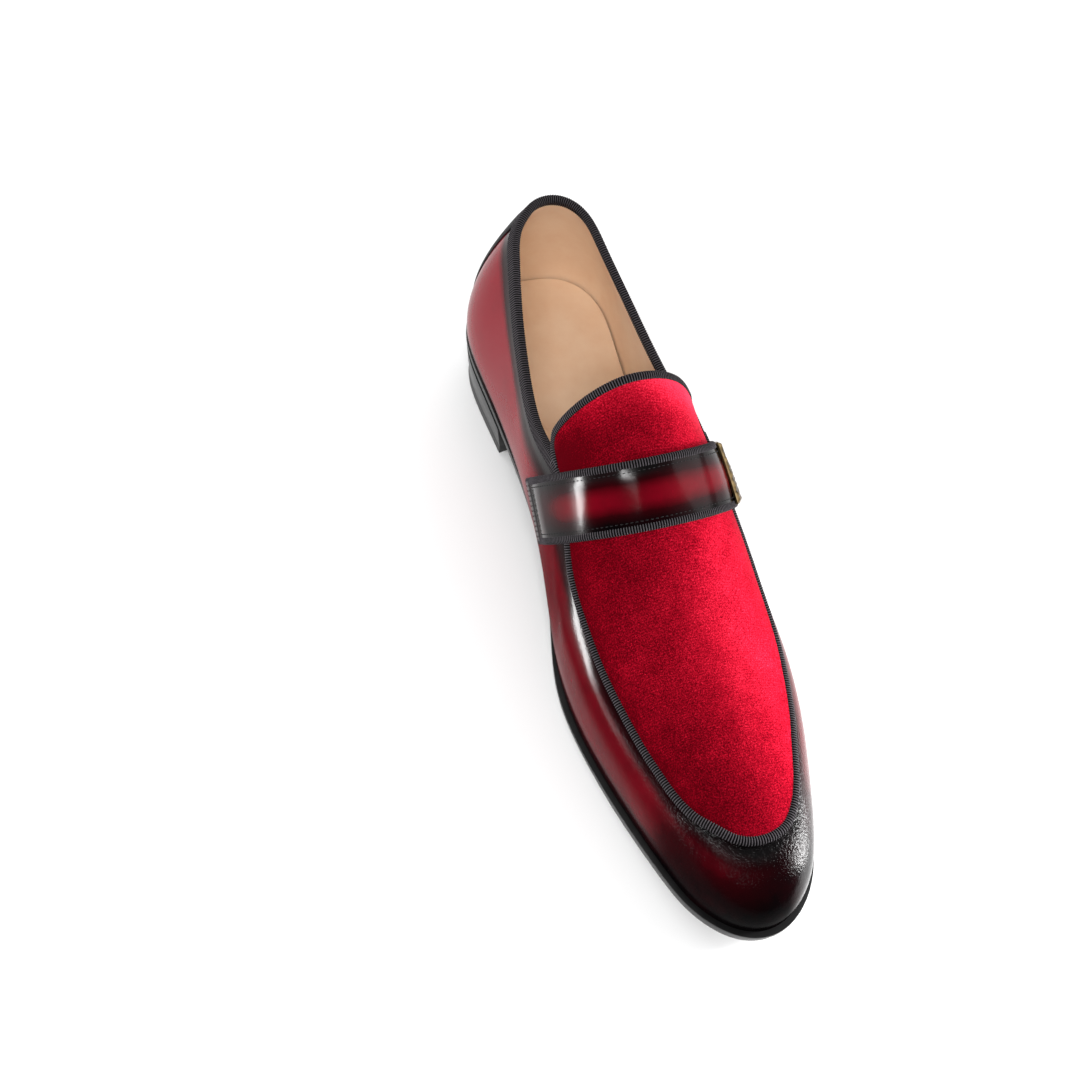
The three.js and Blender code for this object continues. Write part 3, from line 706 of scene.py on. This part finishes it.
# %% Lining of the wall
LINING_GAP, LINING_THICK = 0.12, 0.55
lining_places = np.linspace(0, RING_ROWS, 261)
wall_lining, rise, run = flat_grid("quarter_lining", 18, len(lining_places) - 1)
column = np.round(run * (len(lining_places) - 1)).astype(int)
w = lining_places[column]
t = wall_top(lining_places)[column] * rise
put_corners(wall_lining, to_frame(last_point(w, t) - last_normal(w, t) * (WALL_LEATHER + LINING_GAP)))
edit(wall_lining, weld)
thicken(wall_lining, LINING_THICK)
hand_over(wall_lining, lining, "tan_lining")

# %% [markdown]
# ## The velvet apron and tongue
# The top of the shoe is one piece of velvet: the apron inside the seam, running on under the strap
# into a tongue with a rounded top edge. Its grid is laid from the inner seam over the ridge to the
# outer seam. The value painted on it is partly the way the pile was last brushed and partly
# painted light and shade: the velvet is painted bright on the outer side and at the top of the
# tongue, where the light falls, and painted dark along the inner side, beside the inner seam tape
# and towards the toe.

# %% Places on the apron and tongue
THROAT_ROW, POLE_ROW, ROW_LENGTH = 5.85, 12.4, 33
TONGUE_ROWS, TONGUE_TILT, TONGUE_DIP, TONGUE_CORNER, TONGUE_RISE = 0.54, 0.095, 0.195, 6, 1.1
TONGUE_SHARE = 0.16


def apron_rise(row, aside, inset=0.0):
    """Rise at share |aside| = 1 on the seam, 0 on the ridge."""
    w = ring_place(row, aside)
    edge = wall_top(w)
    half = np.linalg.norm(last_point(w, edge) - last_point(w, np.ones_like(w)), axis=-1)
    start = edge + (1 - edge) * inset / half
    return start + (1 - start) * (1 - np.abs(aside))


def tongue_row(aside, up, inset=0.0):
    corner = (1 - np.abs(aside) ** TONGUE_CORNER) ** (1 / TONGUE_CORNER)
    reach = TONGUE_ROWS + TONGUE_TILT * aside - TONGUE_DIP * (1 - aside**2) - inset / ROW_LENGTH
    return THROAT_ROW - reach * corner * up


def tongue_stand(aside):
    """How far the tongue stands off the last: nothing at its sides."""
    return TONGUE_RISE * smooth(1 - np.abs(aside), 0.0, 0.12)


def vamp(aside, run, inset):
    """Place w and rise t on the velvet: run 0 at the top of the tongue, 1 at the toe seam."""
    up = np.clip(1 - run / TONGUE_SHARE, 0, 1)
    ahead = np.clip((run - TONGUE_SHARE) / (1 - TONGUE_SHARE), 0, 1)
    front = THROAT_ROW + (LAST_ROW - THROAT_ROW) * ahead
    row = np.where(run < TONGUE_SHARE, tongue_row(aside, up, inset), front)
    t = np.minimum(apron_rise(front, aside, inset), 1.0)
    pole = (row > POLE_ROW) & (np.abs(aside) < 1e-6)
    return np.where(pole, LAST_ROW, ring_place(row, aside)), np.where(pole, 1.0, t)


# %% Velvet and the lining under it
def vamp_sheet(name, columns, rows, lift, inset):
    piece, share, run = flat_grid(name, columns, rows)
    aside = 2 * share - 1
    w, t = vamp(aside, run, inset)
    ridge = np.stack([-along(RIDGE_LINE, section(w)["x"])[1], 0 * w, 1 + 0 * w], -1)
    normal = np.where((t > 0.9999)[:, None], unit(ridge), last_normal(w, t))
    stand = tongue_stand(aside) * fade(run, 0.0, 0.15)
    put_corners(piece, to_frame(last_point(w, t) + normal * (lift + stand)[:, None]))
    return piece, aside


velvet_top, aside = vamp_sheet("velvet_apron", 100, 220, 0.95, 0.4)
x, y, _ = (corners(velvet_top) / MM + SHIFT).T
sideways = np.clip((y - 4) / 38, -1, 1)
# Painted light and shade: brighter on the outer side and at the top of the tongue, where the light falls,
# darker on the inner side, beside the inner seam tape and towards the toe.
nap_and_painted_light = 0.33 + 0.24 * sideways + 0.05 * np.cos(x / 17.0)
nap_and_painted_light += 0.62 * fade(x, 116, 140) - 0.08 * smooth(x, 215, 285)
nap_and_painted_light -= 0.34 * smooth(-aside, 0.25, 0.9) * fade(x, 138, 160) + 0.14 * smooth(-aside, 0.75, 1.0)
nap_and_painted_light += 0.13 * hump(sideways, 0.5, 0.42) - 0.10 * smooth(sideways, 0.7, 1.0)
paint(velvet_top, "nap_and_painted_light", nap_and_painted_light)
edit(velvet_top, weld, face_out)
thicken(velvet_top, 1.9)
hand_over(velvet_top, velvet, "crimson_velvet", "apron_velvet", angle=60)

under_vamp, _ = vamp_sheet("vamp_lining", 40, 110, -1.05, 0.2)
edit(under_vamp, weld, face_out)
thicken(under_vamp, 0.75)
hand_over(under_vamp, lining, "tan_lining", angle=60)

# %% [markdown]
# ## Ribbed tape
# Black ribbed tape binds the collar and the tongue, covers the apron seam as a raised cord and
# edges the strap. Its ribs run across it, a millimetre apart. Bump alone would leave the outline
# smooth, so the ribs are modelled: a strip of many small faces is swept along the edge with a
# closed section, and every rib swells the section by a quarter of a millimetre.

# %% Even steps along a line
RIB, FACES_PER_RIB = 1.0, 6


def even_run(points, normals, step=RIB / FACES_PER_RIB):
    """Points, normals, tangents and walked lengths at even steps along a line."""
    walked = walk(points)
    at = np.linspace(0, walked[-1], int(walked[-1] / step))

    def evened(rows):
        return np.stack([np.interp(at, walked, rows[:, k]) for k in range(3)], -1)

    line, normal = evened(points), evened(normals)
    tangent = unit(np.gradient(line, axis=0))
    return line, unit(normal - tangent * np.sum(normal * tangent, axis=1, keepdims=True)), tangent, at


# %% Sweep a ribbed tape along a line
RIB_DEEP = 0.24


def ribbed_tape(name, run, profile, flip=1):
    """profile: closed section of (across, lift, ribbed 0 to 1) points, across towards the edge."""
    line, normal, tangent, at = run
    outline = np.array(profile, float)
    piece, share, way = flat_grid(name, len(outline), len(line) - 1)
    k = np.round(share * len(outline)).astype(int) % len(outline)
    i = np.round(way * (len(line) - 1)).astype(int)
    ahead = np.roll(outline[:, :2], -1, axis=0) - np.roll(outline[:, :2], 1, axis=0)
    out = unit(np.stack([ahead[:, 1], -ahead[:, 0]], -1))
    middle = outline[:, :2].mean(0)
    out *= np.sign(np.sum(out * (outline[:, :2] - middle), axis=1, keepdims=True) + 1e-9)
    swell = (np.sin(np.pi * at / RIB) ** 2)[i]
    ribbed = outline[k, 2]
    across, lift = (outline[k, :2] + out[k] * (RIB_DEEP * (swell - 0.6) * ribbed)[:, None]).T
    # The swell of each rib is painted for the finish, which paints the rib tops lighter as a highlight and
    # the hollows between them black as shade.
    paint(piece, "rib_light_and_shade", np.where(ribbed > 0, swell, 0.3))
    side = flip * np.cross(normal, tangent)
    put_corners(piece, to_frame(line[i] + side[i] * across[:, None] + normal[i] * lift[:, None]))
    edit(piece, lambda: weld(0.002), lambda: bpy.ops.mesh.select_all(action="DESELECT"),
         lambda: bpy.ops.mesh.select_non_manifold(), lambda: bpy.ops.mesh.fill_holes(sides=0),
         lambda: bpy.ops.mesh.select_all(action="SELECT"), face_out)
    return piece


# %% Sections of the tapes
def cord_profile(width, height, floor=0.05):
    """A low half-round section, flat underneath."""
    arc = np.linspace(0, np.pi, 11)
    dome = [(-width / 2 * np.cos(a), floor + height * np.sin(a) ** 0.8, 1.0) for a in arc]
    return dome + [(width / 4, floor - 0.3, 0), (-width / 4, floor - 0.3, 0)]


def folded_profile(width, inside, out, back, thick=0.7):
    """A tape folded over an edge: a strip outside, a round top and a short strip inside."""
    middle, radius = (out + back) / 2, (out - back) / 2 + thick
    crown = [(0.2 + 0.62 * radius * np.sin(a), middle + radius * np.cos(a), 1.0)
             for a in np.linspace(0, np.pi, 9)]
    return [(-width, out - 0.2, 0), (-width, out + 0.35 * thick, 0.6), (-width + 0.5, out + 0.9 * thick, 1.0),
            (-0.66 * width, out + thick, 1.0), (-0.33 * width, out + thick, 1.0), *crown,
            (-inside + 0.4, back - thick, 1.0), (-inside, back - 0.5 * thick, 0.6), (-inside, back + 0.2, 0),
            (-0.4, back + 0.3, 0), (-0.4, out - 0.2, 0)]


# %% Collar tape
round_heel = np.linspace(-THROAT_ROW - 0.12, THROAT_ROW + 0.12, 900)
collar_t = wall_top(round_heel)
collar_run = even_run(last_point(round_heel, collar_t), last_normal(round_heel, collar_t))
collar_tape = ribbed_tape("collar_tape", collar_run, folded_profile(4.7, 3.4, 0.1, -1.95), flip=-1)
hand_over(collar_tape, grosgrain, "black_grosgrain", "collar_binding", angle=60)

# %% Tongue tape
aside = np.sin(np.linspace(-np.pi / 2, np.pi / 2, 1401))
tongue_w = ring_place(tongue_row(aside, 1.0), aside)
tongue_t = np.minimum(apron_rise(np.full_like(aside, THROAT_ROW), aside), 0.9995)
tongue_out = last_normal(tongue_w, tongue_t)
tongue_edge = last_point(tongue_w, tongue_t) + tongue_out * tongue_stand(aside)[:, None]
tongue_tape = ribbed_tape("tongue_tape", even_run(tongue_edge, tongue_out),
                          folded_profile(2.0, 2.6, 0.95, -1.85, 0.55))
hand_over(tongue_tape, grosgrain, "black_grosgrain", "tongue_binding", angle=60)

# %% Apron cord
round_toe = np.linspace(THROAT_ROW - 0.1, RING_ROWS - THROAT_ROW + 0.1, 1600)
seam_t = wall_top(round_toe)
seam_out = last_normal(round_toe, seam_t)
apron_run = even_run(last_point(round_toe, seam_t) + 0.15 * seam_out, seam_out)
apron_cord = ribbed_tape("apron_cord", apron_run, cord_profile(3.5, 1.75))
hand_over(apron_cord, grosgrain, "black_grosgrain", "apron_binding", angle=60)

# %% [markdown]
# ## The strap
# A band of the same polished leather lies over the instep, from one side of the sole to the other,
# and is edged with ribbed tape. It stands clear of the wall where it bridges the seam, so it is
# laid on the last with a lift that grows from the ends to the top. It is crowned across, its ends
# are folded under, and its polish is rubbed dark along both tapes and towards both ends.

# %% Places on the strap
STRAP_SLOPE, STRAP_REAR, STRAP_FRONT = math.radians(34), 73.0, 100.0
STRAP_MIDDLE = (STRAP_REAR + STRAP_FRONT) / 2
STRAP_RISE, STRAP_THICK, STRAP_END = 1.95, 1.3, 0.23
HALF_STEPS = 400


def strap_row(side, t, d):
    """Row at which the last is cut by the sloping plane d."""
    def is_behind(row):
        point = last_point(ring_place(row, side), t)
        return point[..., 0] * math.cos(STRAP_SLOPE) - point[..., 2] * math.sin(STRAP_SLOPE) < d

    return crossing(np.full_like(t, 4.0), np.full_like(t, 9.0), is_behind)


half_t = np.linspace(STRAP_END, 1, HALF_STEPS)
strap_ts = np.concatenate([half_t, half_t[-2::-1]])
strap_sides = np.where(np.arange(len(strap_ts)) < HALF_STEPS, -1.0, 1.0)
middle_row = strap_row(strap_sides, strap_ts, np.full_like(strap_ts, STRAP_MIDDLE))
strap_walk = walk(last_point(ring_place(middle_row, strap_sides), strap_ts))
strap_mm = strap_walk[-1]
strap_walk /= strap_mm
RIDGE_SHARE = strap_walk[HALF_STEPS - 1]
print("strap length in mm:", round(strap_mm, 1), "ridge at share", round(RIDGE_SHARE, 3))


# %% Points on the strap
STRAP_EDGE, CROWN = 1.2, 0.55


def strap_point(share, d, lift):
    """Point on the strap: share 0 at the inner end, 1 at the outer end."""
    t = np.interp(share, strap_walk, strap_ts)
    side = np.where(share <= RIDGE_SHARE, -1.0, 1.0)
    w = ring_place(strap_row(side, t, d), side)
    clear = GAP + (STRAP_RISE - GAP) * smooth(t, 0.27, 0.4)
    return last_point(w, t) + last_normal(w, t) * (clear + lift)[..., None]


def strap_from_end(share):
    return np.minimum(share, 1 - share) * strap_mm


def strap_crown(share, d):
    """Swell of the strap across its width, flat at its ends."""
    across = (d - STRAP_REAR - STRAP_EDGE) / (STRAP_FRONT - STRAP_REAR - 2 * STRAP_EDGE)
    return CROWN * (1 - np.abs(2 * across - 1) ** 2.2) * smooth(strap_from_end(share), 4.0, 14.0)


# %% Strap leather
FOLD_THICK = 0.45
strap, across, run = flat_grid("strap_leather", 26, 200)
d = STRAP_REAR + STRAP_EDGE + (STRAP_FRONT - STRAP_REAR - 2 * STRAP_EDGE) * across
fold = FOLD_THICK * fade(strap_from_end(run), 4.4, 5.3)
put_corners(strap, to_frame(strap_point(run, d, STRAP_THICK + fold + strap_crown(run, d))))
from_edge = np.minimum(d - STRAP_REAR, STRAP_FRONT - d)
red = smooth(from_edge, 3.2, 12.5) * smooth(np.minimum(run, 1 - run), 0.04, 0.30)
worn = smooth(run, 0.28, 0.34) * fade(run, 0.48, 0.56) * smooth(across, 0.14, 0.26)
paint(strap, "burnish", 0.98 - 0.82 * red)
paint(strap, "gather", np.zeros_like(red))
paint(strap, "polish", 1 - 0.9 * worn)
edit(strap, face_out)
thicken(strap, 1.15)
round_edges(strap, 0.25, 2, 60)
hand_over(strap, leather, "burgundy_leather", "strap")

# %% Strap tapes
TAPE_MIDDLE = 1.55
TAPE_HALF = [(-1.5, 0.0, 0), (-1.62, 0.55, 0.7), (-1.5, 1.2, 1), (-1.0, 1.62, 1), (-0.4, 1.72, 1)]
TAPE_PROFILE = TAPE_HALF + [(-across_, lift, ribbed) for across_, lift, ribbed in TAPE_HALF[::-1]]


def strap_tape(name, d, node):
    shares = np.linspace(0.0, 1.0, 500)
    line = strap_point(shares, np.full_like(shares, d), np.zeros_like(shares))
    above = strap_point(shares, np.full_like(shares, d), np.ones_like(shares))
    piece = ribbed_tape(name, even_run(line, unit(above - line)), TAPE_PROFILE)
    return hand_over(piece, grosgrain, "black_grosgrain", node, angle=60)


strap_tape("strap_tape_back", STRAP_REAR + TAPE_MIDDLE, "strap_tape_rear")
strap_tape("strap_tape_fore", STRAP_FRONT - TAPE_MIDDLE, "strap_tape_front")

# %% [markdown]
# ## Stitches
# Fine black stitches hold the tapes to the strap and the strap's folded ends to the wall, and a row
# runs round the collar tape. One stitch is modelled from a small sphere, drawn out and bowed so that
# its ends sink into the leather; every row is made of copies of it, set along the seam and joined.

# %% One stitch
STITCH_HALF, STITCH_THICK, STITCH_BOW, STITCH_PITCH = 0.72, 0.2, 0.30, 1.9

bpy.ops.object.select_all(action="DESELECT")
bpy.ops.mesh.primitive_uv_sphere_add(segments=8, ring_count=5, radius=1)
stitch = bpy.context.object
stitch.name = "stitch"
stitch_size = (STITCH_HALF * MM, STITCH_THICK * MM, STITCH_THICK * MM)
edit(stitch, lambda: bpy.ops.transform.resize(value=stitch_size))
bowed = corners(stitch)
bowed[:, 2] -= STITCH_BOW * MM * (bowed[:, 0] / (STITCH_HALF * MM)) ** 2
put_corners(stitch, bowed)


# %% A row of stitches
def stitch_row(name, points, normals):
    line, normal, tangent, _ = even_run(points, normals, STITCH_PITCH)
    side = np.cross(normal, tangent)
    copies = []
    for at, x, y, z in zip(to_frame(line), tangent, side, normal):
        copy = stitch.copy()
        copy.data = stitch.data.copy()
        copy.matrix_world = Matrix([[x[k], y[k], z[k], at[k]] for k in range(3)] + [[0, 0, 0, 1]])
        bpy.context.collection.objects.link(copy)
        copies.append(copy)
    bpy.ops.object.select_all(action="DESELECT")
    for copy in copies:
        copy.select_set(True)
    bpy.context.view_layer.objects.active = copies[0]
    bpy.ops.object.join()
    bpy.ops.object.transform_apply(location=True, rotation=True, scale=True)
    row = bpy.context.object
    row.name = row.data.name = name
    print(len(copies), "stitches in", name)
    return hand_over(row, thread, "black_grosgrain")


def strap_line(shares, d, lift):
    """A line on the strap and the directions straight out of it."""
    shares, d = np.broadcast_arrays(np.asarray(shares, float), np.asarray(d, float))
    lift = lift + strap_crown(shares, d)
    line = strap_point(shares, d, lift)
    return line, unit(strap_point(shares, d, lift + 1.0) - line)


# %% Stitches of the strap
FROM_EDGE, EDGE_LIFT, FOLD_LIFT = 4.1, 0.08, 0.46
FROM_END = (1.1, 3.9)
edge_run = np.linspace(0.05, 0.95, 300)
across_run = np.linspace(STRAP_REAR + 3.2, STRAP_FRONT - 3.2, 60)

stitch_row("stitches_strap_back", *strap_line(edge_run, STRAP_REAR + FROM_EDGE, STRAP_THICK + EDGE_LIFT))
stitch_row("stitches_strap_fore", *strap_line(edge_run, STRAP_FRONT - FROM_EDGE, STRAP_THICK + EDGE_LIFT))
for end in ("inner", "outer"):
    for k, mm in enumerate(FROM_END):
        share = mm / strap_mm if end == "inner" else 1 - mm / strap_mm
        fold_line = strap_line(share, across_run, STRAP_THICK + FOLD_LIFT)
        stitch_row(f"stitches_strap_{end}_{k + 1}", *fold_line)


# %% Stitches of the collar
COLLAR_DOWN, COLLAR_LIFT = 3.8, 0.84


def rise_length(w):
    """Millimetres of wall to one whole unit of rise, just under its top edge."""
    top, step = wall_top(w), 0.06
    return np.linalg.norm(last_point(w, top) - last_point(w, top - step), axis=-1) / step


stitch_t = collar_t - COLLAR_DOWN / rise_length(round_heel)
collar_out = last_normal(round_heel, stitch_t)
stitch_row("stitches_collar", last_point(round_heel, stitch_t) + COLLAR_LIFT * collar_out, collar_out)
bpy.data.objects.remove(stitch)

# %% [markdown]
# ## The brass badge
# A small hammered brass plate sits on the outer part of the strap. A grid is laid on the strap and
# given thickness; seeded bumps stand in for the hammer marks, and the hollows between them are
# painted so that the finish can leave them dark, as in old brass.

# %% Hammer marks
BADGE_LENGTH, BADGE_WIDTH, BADGE_THICK = 25.0, 12.5, 2.0
MARKS = 150
chance = np.random.default_rng(12)
badge, long_way, short_way = flat_grid("hammered_badge", 72, 36)
lengthwise, crosswise = (long_way - 0.5) * BADGE_LENGTH, (short_way - 0.5) * BADGE_WIDTH
marks = np.zeros_like(lengthwise)
for _ in range(MARKS):
    x, y = chance.uniform(-13, 13), chance.uniform(-6.6, 6.6)
    size = chance.uniform(0.7, 1.5)
    mark = hump(lengthwise, x, size) * hump(crosswise, y, size)
    marks = np.maximum(marks, chance.uniform(0.4, 1) * mark)

# %% Badge on the strap
BADGE_T, BADGE_LIFT, RIM_WIDE, MARK_DEEP = 0.475, 0.75, 1.3, 0.55
to_rim = np.minimum(BADGE_LENGTH / 2 - np.abs(lengthwise), BADGE_WIDTH / 2 - np.abs(crosswise))
rim = smooth(to_rim, 0, RIM_WIDE)
hollow = (1 - marks) * rim
height = STRAP_THICK + BADGE_LIFT + BADGE_THICK * (0.62 * rim + 0.38) - MARK_DEEP * hollow
outer_half = slice(None, HALF_STEPS - 2, -1)
outer_share = np.interp(BADGE_T, strap_ts[outer_half], strap_walk[outer_half])
share = outer_share - crosswise / strap_mm
put_corners(badge, to_frame(strap_point(share, STRAP_MIDDLE + lengthwise, height)))
paint(badge, "hollow", hollow)
edit(badge, face_out)
thicken(badge, 0.9)
hand_over(badge, brass, "antique_brass", "badge", angle=70)

# %% [markdown]
# ## The back strip
# A strip of dull black leather is laid over the seam at the back of the heel, broad enough to reach
# round to both sides. It is a grid laid proud of the wall, with its edges turned down, thick enough
# to draw a dark line down the outline of the heel. It ends just under the collar tape.

# %% Back strip
STRIP_HALF_ROW, STRIP_LOW, STRIP_DOWN = 1.5, 0.03, 4.2
STRIP_PROUD, STRIP_THICK, STRIP_TURN = 1.28, 1.1, 0.75
strip, rise, run = flat_grid("back_strip_leather", 44, 60)
w = (2 * run - 1) * STRIP_HALF_ROW
t = STRIP_LOW + (wall_top(w) - STRIP_LOW - STRIP_DOWN / rise_length(w)) * rise
turned_down = STRIP_TURN * np.maximum(np.abs(2 * run - 1) ** 24, rise**40)
put_corners(strip, to_frame(last_point(w, t) + last_normal(w, t) * (STRIP_PROUD - turned_down)[:, None]))
edit(strip, face_out)
thicken(strip, STRIP_THICK)
hand_over(strip, dull_black, "black_leather", "back_strip")

# %% [markdown]
# ## Studio
# The shoe stands on white paper and is seen from above its inner toe side. A low soft box on the
# inner side draws the bright lines on the wall and the strap, and a bar beside the camera draws the
# short one on top of the strap. A small box lights the outer side of the toe, and two big panels, on
# the outer side and behind the heel, fill the rest. The camera has the angle and lens of the photo.

# %% Floor
FLOOR_SIZE, FLOOR_HEIGHT = 6.0, -0.0004
bpy.ops.object.select_all(action="DESELECT")
bpy.ops.mesh.primitive_plane_add(size=FLOOR_SIZE, location=(0, 0, FLOOR_HEIGHT))
floor = bpy.context.object
floor.name = floor.data.name = "studio_floor"
edit(floor, lambda: bpy.ops.mesh.subdivide(number_cuts=3))
paper, tree, shader = new_finish("white_paper", Roughness=0.8, Specular_IOR_Level=0.2)
tint(tree, shader, noise(tree, 3.0), (0.3, (0.86, 0.86, 0.86)), (0.7, (0.88, 0.88, 0.88)))
floor.data.materials.append(paper)


# %% Lights
def soft_box(name, at, towards, width, depth, watts):
    bpy.ops.object.select_all(action="DESELECT")
    bpy.ops.object.light_add(type="AREA", location=at)
    lamp = bpy.context.object
    lamp.name = lamp.data.name = name
    lamp.data.shape = "RECTANGLE"
    lamp.data.size = width
    lamp.data.size_y = depth
    lamp.data.energy = watts
    lamp.visible_camera = False
    lamp.rotation_euler = (Vector(towards) - Vector(at)).to_track_quat("-Z", "Y").to_euler()


soft_box("light_inner_strip", (-0.08, -0.95, 0.12), (-0.08, 0, 0.06), 0.26, 0.16, 9.5)
soft_box("light_front_bar", (0.34, -0.21, 0.57), (0, 0, 0.09), 0.26, 0.05, 2.2)
soft_box("light_outer_toe", (0.178, 0.22, 0.08), (0.13, 0.02, 0.03), 0.045, 0.14, 1.5)
soft_box("light_outer_panel", (-0.1, 1.35, 0.7), (0, 0, 0.1), 1.8, 1.0, 12)
soft_box("light_back_panel", (-1.3, 0.1, 1.2), (-0.05, 0, 0), 2.4, 1.0, 24)

# %% Air round the shoe
AIR_LIGHT = 0.38
scene = bpy.context.scene
scene.world = bpy.data.worlds.new("studio_air")
scene.world.use_nodes = True
air = scene.world.node_tree.nodes["Background"]
air.inputs["Color"].default_value = (1, 1, 1, 1)
air.inputs["Strength"].default_value = AIR_LIGHT

# %% Camera
CAMERA_AT = Vector(to_frame(np.array([436.115, -161.062, 534.81])))
CAMERA_TO = Vector(to_frame(np.array([139.285, -31.922, 29.62])))
ROLL, SENSOR, LENS = 8.277, 36.0, 48.766
bpy.ops.object.select_all(action="DESELECT")
bpy.ops.object.camera_add(location=CAMERA_AT)
camera = bpy.context.object
camera.name = camera.data.name = "photo_camera"
camera.rotation_mode = "QUATERNION"
level = (CAMERA_TO - CAMERA_AT).to_track_quat("-Z", "Y")
camera.rotation_quaternion = level @ Quaternion((0, 0, 1), math.radians(ROLL))
camera.data.sensor_width = SENSOR
camera.data.lens = LENS
camera.data.clip_start = 0.02
camera.data.dof.use_dof = False
scene.camera = camera
scene.view_settings.view_transform = "Standard"
print("camera stands", round((CAMERA_TO - CAMERA_AT).length, 2), "m from the shoe")
